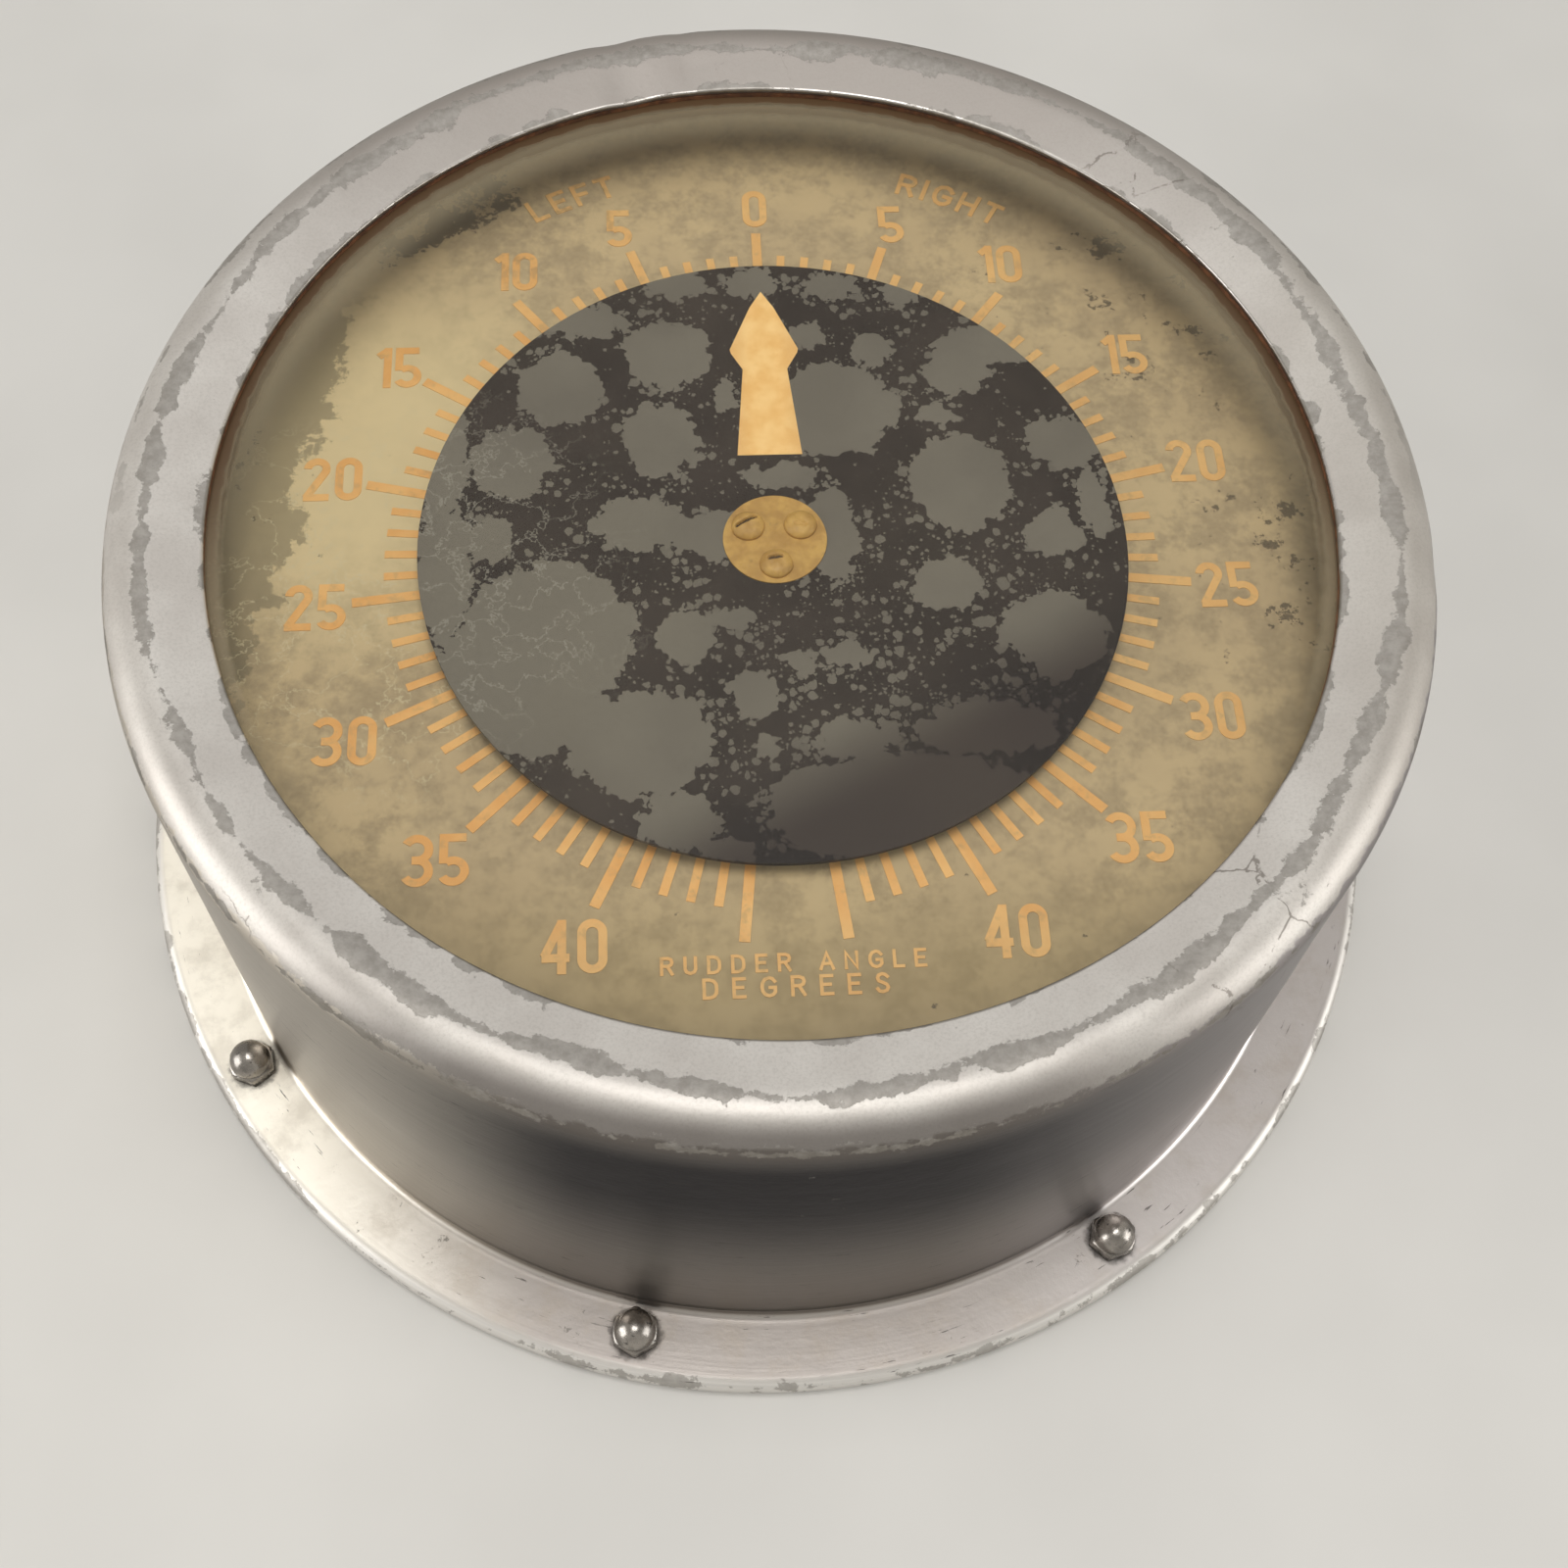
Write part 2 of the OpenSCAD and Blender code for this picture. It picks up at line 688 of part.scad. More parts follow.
// Two supply leads to the lamp sockets, and the links from socket to socket
module lamp_leads() {
  p = function (a) [lamp_at * cos(a), lamp_at * sin(a), deck_z - 6];
  socket_x = lamp_at * cos(45);
  color("darkolivegreen") {
    for (i = [5, 6]) {
      x = terminal_x(i);
      side = i == 5 ? -1 : 1;
      lead([[x, lead_y, lead_z], [x, lead_bend_y, lead_z], [x, lead_bend_y + 6, lead_z + 6],
        [socket_x + side * 2, -socket_x, 40], [socket_x + side * 2, -socket_x, deck_z - 10]],
        lead_r);
    }
    for (a = [-45, 45, 135]) {
      v = (p(a + 90) - p(a)) / norm(p(a + 90) - p(a));
      rod(p(a) + v * socket_r, p(a + 90) - v * socket_r, lead_r);
    }
  }
}

// Half of the arrow's outline, from the tip down its right side
arrow_side = [[0, arrow_tip], [2.6, arrow_tip - 4.4], [7.4, 49.2], [7.2, 48.2], [4.8, 43.8],
  [4.9, 42.6], [6.8, 21.2]];
module arrow_outline() {
  n = len(arrow_side);
  polygon(concat(arrow_side, [for (i = [n - 1 : -1 : 1]) [-arrow_side[i][0], arrow_side[i][1]]]));
}

module pointer_disc() {
  color("dimgray") difference() {
    ring(disc_r, carrier_view_r, disc_z, disc_t);
    translate([0, 0, disc_z - 1]) linear_extrude(height = disc_t + 2) arrow_outline();
  }
}

module pointer_arrow() {
  color("sandybrown") translate([0, 0, disc_z]) linear_extrude(height = disc_t) arrow_outline();
}

// Its boss fills the hole in the disc
module pointer_carrier() {
  color("goldenrod") difference() {
    union() {
      translate([0, 0, carrier_z]) cylinder(r = carrier_r, h = carrier_t, $fn = 96);
      translate([0, 0, carrier_z])
        cylinder(r = carrier_view_r - 0.05, h = carrier_top - carrier_z, $fn = 96);
    }
    around(3, 30) translate([carrier_screw_at, 0, carrier_z - 1])
      cylinder(r = carrier_screw[0], h = carrier_t + 4, $fn = 24);
  }
}

module pointer_screws() {
  color("goldenrod") around(3, 30) translate([carrier_screw_at, 0, 0])
    rotate([0, 0, 40]) slotted_screw(carrier_screw, carrier_top, carrier_top - carrier_z + 4);
}

module shaft_collar() {
  color("goldenrod") difference() {
    translate([0, 0, collar_z]) cylinder(r = collar_r, h = carrier_z - collar_z, $fn = 64);
    translate([0, 0, collar_z - 1]) cylinder(r = shaft_r, h = 20, $fn = 48);
    around(3, 30) translate([carrier_screw_at, 0, carrier_z - 4.2])
      cylinder(r = carrier_screw[0], h = 5, $fn = 24);
    translate([0, 0, collar_z + 3]) rotate([-90, 0, 0]) cylinder(r = 1.5, h = 12, $fn = 24);
  }
}

module collar_set_screw() {
  color("dimgray") translate([0, shaft_r, collar_z + 3]) rotate([-90, 0, 0]) difference() {
    cylinder(r = 1.5, h = collar_r - shaft_r - 0.6, $fn = 24);
    translate([-2, -0.4, collar_r - shaft_r - 1.6]) cube([4, 0.8, 2]);
  }
}

module rotor_shaft() {
  color("silver") translate([0, 0, shaft_z])
    cylinder(r = shaft_r, h = shaft_top - shaft_z, $fn = 48);
}

// Salient pole rotor: two pole faces on a narrow waist
rotor_r = core_in_r - 0.4;
module rotor_core() {
  color("dimgray") difference() {
    ring(rotor_r, shaft_r, core_z + 1, core_top - core_z - 2);
    for (side = [-1, 1]) translate([side * (rotor_r / 2 + 5) - rotor_r / 2, -8.5, core_z])
      cube([rotor_r, 17, core_top - core_z]);
  }
}

module rotor_winding() {
  half_h = (core_top - core_z) / 2;
  color("sienna") translate([0, 0, core_z + half_h]) difference() {
    cube([20, 16.6, 2 * half_h + 2], center = true);
    cube([10.2, 20, 2 * half_h - 1.9], center = true);
    cylinder(r = shaft_r + 0.2, h = 3 * half_h, center = true, $fn = 48);
  }
}

module inertia_damper() {
  color("goldenrod") ring(12.5, shaft_r, core_top + 2, 6);
}

module slip_ring_sleeve() {
  color("saddlebrown") ring(4.6, shaft_r, housing_z + 0.5, 7);
}

module slip_rings() {
  color("orange") for (z = brush_z) ring(5.5, 4.6, z - ring_w / 2, ring_w);
}

cover_shell();
cover_flange();
acorn_nuts();
flange_studs();
base_gasket();
back_plate();
back_plate_screws();
cable_grommet();
glass();
glass_gasket();
glass_retaining_ring();
retaining_brackets();
retaining_screws();
dial_plate();
dial_marks();
dial_numerals();
dial_screws();
dial_posts();
lamp_deck();
deck_posts();
deck_screws();
lamp_sockets();
lamps();
receiver_clamps();
clamp_screws();
front_end_bell();
rear_end_bell();
stator_housing();
stator_core();
stator_windings();
bearing_outer_races();
brush_block();
brushes();
terminal_block();
terminal_screws();
receiver_leads();
lamp_leads();
pointer_disc();
pointer_arrow();
pointer_carrier();
pointer_screws();
shaft_collar();
collar_set_screw();
rotor_shaft();
rotor_core();
rotor_winding();
inertia_damper();
slip_ring_sleeve();
slip_rings();
bearing_inner_races();
bearing_balls();
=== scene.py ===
import math
import bpy
import bmesh
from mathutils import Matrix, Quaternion, Vector, noise


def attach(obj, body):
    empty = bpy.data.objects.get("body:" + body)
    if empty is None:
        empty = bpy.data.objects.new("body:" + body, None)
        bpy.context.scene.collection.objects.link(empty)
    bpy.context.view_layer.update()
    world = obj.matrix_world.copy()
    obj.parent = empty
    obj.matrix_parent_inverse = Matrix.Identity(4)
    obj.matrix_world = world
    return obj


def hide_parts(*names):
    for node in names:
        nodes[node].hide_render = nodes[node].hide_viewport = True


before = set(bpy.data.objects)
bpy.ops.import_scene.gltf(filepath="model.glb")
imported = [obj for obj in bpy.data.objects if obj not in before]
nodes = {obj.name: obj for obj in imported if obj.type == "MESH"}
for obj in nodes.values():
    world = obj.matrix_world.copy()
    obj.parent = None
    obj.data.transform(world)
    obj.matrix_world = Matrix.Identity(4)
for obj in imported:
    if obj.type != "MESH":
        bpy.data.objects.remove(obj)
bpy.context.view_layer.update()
scene = bpy.context.scene
mm = 0.001  # shapes and finishes are written in millimetres
wallRadius = 130  # where streaks along the turning have their full length
print("frame loaded:", len(nodes), "nodes")


# helpers for materials and meshes

def paintShade(red, green, blue):
    # a colour as the eye names it, 0 to 255, turned into Blender's linear values
    def linear(c):
        c = c / 255
        return c / 12.92 if c <= 0.04045 else ((c + 0.055) / 1.055) ** 2.4
    return (linear(red), linear(green), linear(blue), 1)


def feed(tree, node, key, value):
    # links a socket to the node's input, or sets a plain value on it
    if isinstance(value, bpy.types.NodeSocket):
        tree.links.new(value, node.inputs[key])
    else:
        node.inputs[key].default_value = value


def addNode(tree, kind, inputs=None, **settings):
    node = tree.nodes.new(kind)
    for key, value in settings.items():
        setattr(node, key, value)
    for key, value in (inputs or {}).items():
        feed(tree, node, key, value)
    return node


class Finish:
    # one procedural material; its methods add nodes and give back sockets
    def __init__(self, name, **plain):
        self.material = bpy.data.materials.new(name)
        self.material.use_nodes = True
        self.tree = self.material.node_tree
        self.shader = self.tree.nodes["Principled BSDF"]
        for key, value in plain.items():
            self.put(key.replace("_", " "), value)
        place = self.add("ShaderNodeTexCoord").outputs["Object"]
        self.at = self.vector("MULTIPLY", place, (1000, 1000, 1000))  # millimetres
        self.x, self.y, self.z = self.add("ShaderNodeSeparateXYZ", {0: self.at}).outputs
        square = self.plus(self.times(self.x, self.x), self.times(self.y, self.y))
        self.r = self.math("SQRT", square)

    def add(self, kind, inputs=None, **settings):
        return addNode(self.tree, kind, inputs, **settings)

    def put(self, key, value):
        feed(self.tree, self.shader, key, value)

    def cover(self, share, first, second):
        # the surface shows a blend of two shader nodes
        both = self.add("ShaderNodeMixShader", {
            0: share, 1: first.outputs[0], 2: second.outputs[0]})
        feed(self.tree, self.tree.nodes["Material Output"], "Surface", both.outputs[0])

    def math(self, way, *values, clamp=False):
        return self.add("ShaderNodeMath", dict(enumerate(values)), operation=way,
                        use_clamp=clamp).outputs[0]

    def times(self, first, second, clamp=False):
        return self.math("MULTIPLY", first, second, clamp=clamp)

    def plus(self, first, second, clamp=False):
        return self.math("ADD", first, second, clamp=clamp)

    def minus(self, first, second):
        return self.math("SUBTRACT", first, second)

    def most(self, first, *others):
        for other in others:
            first = self.math("MAXIMUM", first, other)
        return first

    def vector(self, way, *values):
        node = self.add("ShaderNodeVectorMath", dict(enumerate(values)), operation=way)
        return node.outputs["Value" if way in ("LENGTH", "DISTANCE") else "Vector"]

    def spread(self, value, low, high, start=0.0, end=1.0):
        # a soft step: start below low, end above high
        return self.add("ShaderNodeMapRange", {
            "Value": value, "From Min": low, "From Max": high, "To Min": start, "To Max": end,
        }, interpolation_type="SMOOTHSTEP").outputs[0]

    def spot(self, place, far, near):
        # 1 within near millimetres of a place, 0 beyond far
        return self.spread(self.vector("DISTANCE", self.at, place), far, near)

    def grain(self, size, detail=4.0, rough=0.55, seed=0.0, twist=0.0):
        # noise with features of about that many millimetres
        where = self.vector("ADD", self.at, (seed * 37.1, seed * -17.3, seed * 9.7))
        return self.add("ShaderNodeTexNoise", {
            "Vector": where, "Scale": 1.0 / size, "Detail": detail, "Roughness": rough,
            "Distortion": twist}).outputs["Fac"]

    def streaks(self, length, width, detail=5.0, seed=0.0):
        # noise drawn out along the case's turning direction, with no seam
        way = self.vector("NORMALIZE", self.vector("MULTIPLY", self.at, (1, 1, 0)))
        around = self.vector("SCALE", way)
        around.node.inputs["Scale"].default_value = wallRadius / length
        lift = self.add("ShaderNodeCombineXYZ", {"Z": self.times(self.z, 1 / width)})
        where = self.vector("ADD", self.vector("ADD", around, lift.outputs[0]), (seed, seed, seed))
        return self.add("ShaderNodeTexNoise", {
            "Vector": where, "W": self.times(self.r, 1 / width), "Scale": 1.0,
            "Detail": detail, "Roughness": 0.6}, noise_dimensions="4D").outputs["Fac"]

    def mix(self, share, first, second):
        # two colours, each a socket or three numbers; at share 1 only the second shows
        first, second = (paintShade(*c) if isinstance(c, tuple) else c for c in (first, second))
        return self.add("ShaderNodeMix", {0: share, 6: first, 7: second},
                        data_type="RGBA").outputs[2]

    def coat(self, colour, shade, where, share):
        # lays a shade over a colour; share of it shows at most
        return self.mix(self.times(where, share), colour, shade)

    def relief(self, height, depth, after=None):
        # height 0 to 1 stands depth millimetres proud
        inputs = {"Height": height, "Distance": depth * mm, "Strength": 1.0}
        if after:
            inputs["Normal"] = after
        return self.add("ShaderNodeBump", inputs).outputs["Normal"]


def dress(finish, *names):
    # gives CAD nodes a finish
    for name in names:
        for s in nodes[name].material_slots:
            s.material = finish.material
        if not nodes[name].material_slots:
            nodes[name].data.materials.append(finish.material)


def piece(name, verts, faces, finish, body, replaced=(), smooth=True, second=None):
    # a new visible piece, from points in millimetres; second holds another finish and its faces
    mesh = bpy.data.meshes.new(name)
    mesh.from_pydata([tuple(c * mm for c in v) for v in verts], [], faces)
    for index in (second[1] if second else ()):
        mesh.polygons[index].material_index = 1
    bm = bmesh.new()
    bm.from_mesh(mesh)
    bmesh.ops.recalc_face_normals(bm, faces=bm.faces)
    bm.to_mesh(mesh)
    bm.free()
    mesh.polygons.foreach_set("use_smooth", [smooth] * len(mesh.polygons))
    mesh.materials.append(finish.material)
    if second:
        mesh.materials.append(second[0].material)
    obj = bpy.data.objects.new(name, mesh)
    scene.collection.objects.link(obj)
    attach(obj, body)
    if replaced:
        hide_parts(*replaced)
    return obj


def turned(profile, steps, shape=None):
    # a closed profile of (r, z) turned about the axis; shape moves each point a little
    verts, faces, n = [], [], len(profile)
    for i in range(steps):
        a = math.tau * i / steps
        for r, z in profile:
            if shape:
                r, z = shape(r, z, a)
            verts.append((r * math.cos(a), r * math.sin(a), z))
    for i in range(steps):
        k = (i + 1) % steps
        for j in range(n):
            m = (j + 1) % n
            faces.append((i * n + j, k * n + j, k * n + m, i * n + m))
    return verts, faces


def sheetProfile(path, sheet, roundStart=0.0, roundEnd=0.0):
    # path holds (r, z, normal angle) along the outer face; the sheet lies behind it
    def behind(p, t):
        return (p[0] - t * math.cos(p[2]), p[1] - t * math.sin(p[2]))
    front = [(p[0], p[1]) for p in path]
    back = [behind(p, sheet) for p in path]

    def edge(p, sign, radius):
        # rounds the sheet's cut edge; sign says which way the metal lies
        if not radius:
            return []
        out = []
        along = p[2] - sign * math.pi / 2
        for t0, turn in ((radius, 0.0), (sheet - radius, math.pi / 2)):
            centre = behind(p, t0)
            centre = (centre[0] - radius * math.cos(along), centre[1] - radius * math.sin(along))
            for i in range(5):
                b = turn + i / 4 * math.pi / 2
                out.append(tuple(c + radius * (way(p[2]) * math.cos(b) + way(along) * math.sin(b))
                                 for c, way in zip(centre, (math.cos, math.sin))))
        return out
    last = edge(path[-1], 1, roundEnd) or [front[-1], back[-1]]
    first = edge(path[0], -1, roundStart)
    first = first[::-1] if first else [back[0], front[0]]
    return front[1:-1] + last + back[1:-1][::-1] + first


def arcPath(centre, radius, start, end, count, outward=True):
    out = []
    for i in range(count):
        a = math.radians(start + (end - start) * i / (count - 1))
        out.append((centre[0] + radius * math.cos(a), centre[1] + radius * math.sin(a),
                    a if outward else a + math.pi))
    return out


def linePath(a, b, count):
    turn = math.atan2(b[1] - a[1], b[0] - a[0]) + math.pi / 2
    return [(a[0] + (b[0] - a[0]) * i / (count - 1), a[1] + (b[1] - a[1]) * i / (count - 1), turn)
            for i in range(count)]


# camera, where the photograph was taken from

camera = {
    "at": (-19.87, -211.56, 424.77),
    "lookAt": (-1.86, -62.7, 123.5),
    "roll": 4.4,
    "lens": 42.24, "sensor": 36,
    "clip": (0.01, 50),  # metres
    "halfPicture": 800,  # pixels
}
eye = bpy.data.objects.new("photoCamera", bpy.data.cameras.new("photoCamera"))
scene.collection.objects.link(eye)
scene.camera = eye
eye.data.sensor_width = camera["sensor"]
eye.data.lens = camera["lens"]
eye.data.clip_start, eye.data.clip_end = camera["clip"]
eye.location = Vector(camera["at"]) * mm
gaze = Vector(camera["lookAt"]) - Vector(camera["at"])
eye.rotation_mode = "QUATERNION"
eye.rotation_quaternion = gaze.to_track_quat("-Z", "Y") @ Quaternion(
    (0, 0, 1), math.radians(camera["roll"]))
print("camera placed")


# spun case: front ring, shoulder and wall, and the flange at its foot

case = {
    "lipR": 111.5, "lipZ": 123.5,       # edge of the opening
    "shoulder": (123.3, 118.5), "shoulderR": 8.5,
    "footR": 136.0, "flangeTop": 6.0, "footFillet": 2.0,
    "rim": (149.4, 3.0), "rimR": 3.0,
    "sheet": 1.5, "edgeR": 0.5, "rimEdgeR": 0.4,
    "steps": 420,
    "points": {"ring": 14, "crest": 26, "wall": 40, "fillet": 9, "flange": 14, "rim": 22},
    "wave": 0.22,                       # how far the spun metal wanders
    "calm": (14, 30),                   # height where that starts, and the rise to its full size
    "flangeCalm": (140, 8, 0.8),        # the same by radius on the flange, and its share there
    "ringFrom": 112, "topFrom": 120,    # heights where it goes up and down too, and dents push down
    "dents": (                          # angle, height, size and depth of each
        (104, 124.5, 7, 0.5), (97, 126.0, 4, 0.35), (352, 121.0, 9, 0.4),
        (-66, 122.0, 10, 0.35), (232, 60.0, 16, 0.25), (305, 40.0, 22, 0.3)),
}
nutRing = {
    "count": 8, "r": 143.0, "turn": 31.0, "flats": 9.5, "height": 8.8, "domeR": 4.6,
    "around": 60, "domeRings": 12, "edge": 0.12, "sharp": 40, "wornCorner": 0.985,
    "levels": ((0.0, 6.0), (0.15, 6.0), (2.9, 6.0), (3.3, 5.25), (3.7, 4.85)),  # height, radius
}

agedPaint = Finish("agedPaint", Metallic=0.55, Roughness=0.45, Specular_Tint=(0.55, 0.55, 0.55, 1))


def mixAgedPaint(f):
    # flat aluminium paint over land and shoulder, worn grey where they meet; bare metal below, with
    # painted shade and light on the wall, the flange and the front of the shoulder
    upper = f.spread(f.z, 114, 119)
    ragged = f.grain(6, 12, 0.72, seed=1)
    broad = f.grain(55, 2, 0.5, seed=3)
    fray = f.plus(f.times(f.minus(ragged, 0.5), 6.5),
                  f.times(f.minus(f.grain(1.5, 5, 0.75, seed=19), 0.5), 2.6))
    reach = f.plus(f.r, f.times(fray, 0.8))
    painted = f.times(f.spread(reach, 130.9, 130.4), upper)
    edge = f.times(f.spread(f.r, 112.2, 111.9), upper)
    painted = f.times(painted, f.minus(1.0, edge))

    def wornLine(value, middle, wide, size, seed, wander=0.0, least=-0.5):
        # a broken line of wear along value, frayed; its half width goes from least to wide
        here = f.minus(value, middle)
        if wander:
            drift = f.minus(f.grain(38, 2, 0.5, seed=seed + 1), 0.5)
            here = f.plus(here, f.times(drift, wander))
        half = f.spread(f.grain(size, 3, 0.55, seed=seed), 0.38, 0.66, least, wide)
        outside = f.minus(f.math("ABSOLUTE", here), half)
        return f.spread(f.plus(outside, fray), 0.2, -0.2)
    band = wornLine(f.r, 121.8, 2.6, 20, 20, 6, 0.4)
    outer = f.times(wornLine(f.r, 128.6, 1.8, 14, 31, 3), f.spread(f.y, -20, 40))
    opening = wornLine(f.r, 111.5, 2.2, 12, 24)
    turning = f.times(wornLine(f.z, 121.6, 1.0, 10, 26), f.spread(f.r, 127, 128))
    worn = f.times(f.most(band, outer, opening, turning), upper)
    rim = f.times(wornLine(f.r, 151.8, 1.1, 14, 28), f.spread(f.z, 7, 6.5))
    loose = f.plus(f.grain(5, 12, 0.76, seed=15), f.times(broad, 0.2))
    loose = f.times(f.spread(loose, 0.765, 0.777), f.spread(f.r, 137.6, 137.0, 1.0, 0.75))
    worn = f.most(worn, f.times(rim, 0.8), loose)
    # dark scuffs along the turning, specks and a few cracks
    scuffs = f.spread(f.streaks(7, 0.8, seed=4), 0.63, 0.67)
    scuffs = f.times(scuffs, f.spread(f.grain(26, 3, 0.6, seed=8), 0.42, 0.54))
    scuffs = f.times(scuffs, f.spread(f.z, 121, 112))
    specks = f.spread(f.grain(0.9, 3, 0.8, seed=5), 0.695, 0.73)
    specks = f.times(specks, f.spread(f.grain(16, 4, 0.7, seed=6), 0.52, 0.62))
    bend = f.vector("MULTIPLY_ADD", f.grain(5, 4, 0.6, seed=17), (4, 4, 4), f.at)
    cracks = f.add("ShaderNodeTexVoronoi", {"Vector": bend, "Scale": 0.05},
                   feature="DISTANCE_TO_EDGE").outputs["Distance"]
    cracks = f.times(f.spread(cracks, 0.012, 0.005), f.spread(broad, 0.58, 0.66))
    cracks = f.times(f.times(cracks, upper), f.spread(ragged, 0.48, 0.53))
    cloudy = f.grain(24, 6, 0.6, seed=7)
    brushed = f.streaks(40, 0.35, 3, seed=9)
    paint = f.mix(f.spread(cloudy, 0.35, 0.68), (188, 182, 175), (200, 195, 188))
    paint = f.coat(paint, (160, 154, 147), f.spread(f.grain(0.6, 2, 0.8), 0.4, 0.75), 0.35)
    paint = f.coat(paint, (146, 138, 131), f.spread(f.y, 40, 112), 0.8)
    paint = f.coat(paint, (150, 142, 130), f.spread(f.x, 84, 124), 0.3)
    # painted shade where the shoulder turns down at the front
    middle = f.spread(f.math("ABSOLUTE", f.plus(f.x, 15)), 95, 40)
    shoulderPaintedShade = f.times(f.times(f.spread(f.r, 125.5, 129.5), middle), f.spread(f.y, -60, -100))
    paint = f.coat(paint, (110, 104, 99), shoulderPaintedShade, 0.8)
    # painted reflection and shade on the wall: dark under the shoulder, paler at its foot and on
    # both sides
    left, right, back = f.spread(f.x, -40, -96), f.spread(f.x, 24, 94), f.spread(f.y, -10, 60)
    wall = f.times(f.spread(f.z, 125, 122.5), f.spread(f.r, 137.6, 136.2))
    wallPaintedLightAndStreaks = f.mix(f.spread(f.z, 12, 94), (172, 165, 158), (38, 35, 38))
    wallPaintedLightAndStreaks = f.mix(f.spread(f.z, 110, 124), wallPaintedLightAndStreaks, (120, 114, 109))
    wallPaintedLightAndStreaks = f.coat(wallPaintedLightAndStreaks, (180, 174, 174), right, 0.85)
    wallPaintedLightAndStreaks = f.mix(f.times(right, f.spread(f.z, 76, 8)), wallPaintedLightAndStreaks, (224, 218, 216))
    wallPaintedLightAndStreaks = f.coat(wallPaintedLightAndStreaks, (220, 212, 200), left, 0.88)
    wallPaintedLightAndStreaks = f.coat(wallPaintedLightAndStreaks, (142, 138, 133), back, 0.8)
    wallPaintedLightAndStreaks = f.coat(wallPaintedLightAndStreaks, (98, 95, 92), f.spread(brushed, 0.3, 0.7), 0.1)
    flange = f.spread(f.z, 6.6, 6.1)
    metal = f.mix(f.spread(brushed, 0.25, 0.75), (206, 202, 196), (218, 214, 207))
    # painted light on the flange: pale on the left, darker at the front and right, then stains over
    # it
    flangeLitAndStained = f.mix(f.spread(f.x, -52, -130), (155, 148, 142), (250, 244, 230))
    flangeLitAndStained = f.mix(right, flangeLitAndStained, (176, 170, 166))
    flangeLitAndStained = f.coat(flangeLitAndStained, (150, 138, 122), f.spread(f.grain(14, 6, 0.65, seed=18), 0.45, 0.66), 0.3)
    metal = f.mix(f.times(flange, f.spread(f.r, 151.2, 149.4)), metal, flangeLitAndStained)
    colour = f.mix(painted, f.mix(wall, metal, wallPaintedLightAndStreaks), paint)
    grey = f.mix(f.spread(f.grain(2.2, 5, 0.7, seed=11), 0.3, 0.7), (132, 127, 120),
                 (156, 151, 144))
    colour = f.coat(colour, grey, worn, 0.9)
    # dirt round each cap nut and under the edge of the opening
    sector = math.tau / nutRing["count"]
    angle = f.math("ARCTAN2", f.y, f.x)
    offset = f.minus(angle, math.radians(nutRing["turn"]) - 8 * sector + sector / 2)
    near = f.minus(f.math("MODULO", offset, sector), sector / 2)
    across = f.times(f.math("SINE", near), f.r)
    along = f.minus(f.times(f.math("COSINE", near), f.r), nutRing["r"])
    toNut = f.math("SQRT", f.plus(f.times(across, across), f.times(along, along)))
    toNut = f.plus(toNut, f.times(f.grain(1.6, 5, 0.7), 3.4))
    grime = f.times(f.spread(toNut, 8.2, 5.8), f.spread(f.z, 7.0, 6.1))
    lip = f.times(f.spread(f.r, 112.4, 111.6), f.spread(f.z, 122.8, 122.4))
    dirt = f.most(grime, f.times(lip, 0.85))
    colour = f.coat(colour, (58, 54, 52), scuffs, 0.8)
    colour = f.coat(colour, (92, 84, 76), specks, 0.5)
    colour = f.coat(colour, (100, 92, 84), cracks, 0.7)
    colour = f.coat(colour, (54, 48, 42), dirt, 0.88)
    f.put("Base Color", colour)
    flat = f.spread(cloudy, 0.3, 0.7, 0.40, 0.50)
    gloss = f.plus(f.spread(brushed, 0.3, 0.7, 0.28, 0.35), f.times(flange, 0.10))
    rough = f.plus(f.times(flat, painted), f.times(gloss, f.minus(1.0, painted)))
    rough = f.plus(rough, f.times(worn, 0.06))
    f.put("Roughness", f.plus(rough, f.times(dirt, 0.4), clamp=True))
    bright = f.minus(0.96, f.times(flange, 0.42))
    dull = f.spread(f.r, 121, 126, 0.84, 0.42)
    bright = f.times(bright, f.minus(1.0, f.times(painted, dull)))
    f.put("Metallic", f.times(bright, f.minus(1.0, dirt), clamp=True))
    step = f.relief(f.minus(f.times(painted, 0.6), worn), 0.04)
    pitted = f.relief(f.grain(1.1, 4, 0.7, seed=13), 0.03, step)
    f.put("Normal", f.relief(f.grain(9, 3, 0.5, seed=14), 0.12, pitted))


mixAgedPaint(agedPaint)


def metalWander(r, z, a):
    # slow unevenness of the spun sheet, none near the foot, plus a few shallow dents
    start, rise = case["calm"]
    hold = min(1, max(0, (z - start) / rise))
    start, rise, share = case["flangeCalm"]
    if r > start:
        hold = min(1, (r - start) / rise) * share
    p = Vector((math.cos(a) * 2.3, math.sin(a) * 2.3, z * 0.03))
    w = case["wave"] * hold
    dr = w * noise.noise(p)
    dz = w * noise.noise(p + Vector((7.1, 3.3, 1.7))) if z > case["ringFrom"] else 0
    inward, down = (0.3, 0.9) if z > case["topFrom"] else (1, 0)
    for angle, height, size, depth in case["dents"]:
        gap = (a - math.radians(angle) + math.pi) % (math.tau) - math.pi
        d = math.hypot(gap * r, (z - height) * 1.3) / size
        if d < 1:
            push = depth * (1 - d * d) ** 2
            dr -= push * inward
            dz -= push * down
    return r + dr, z + dz


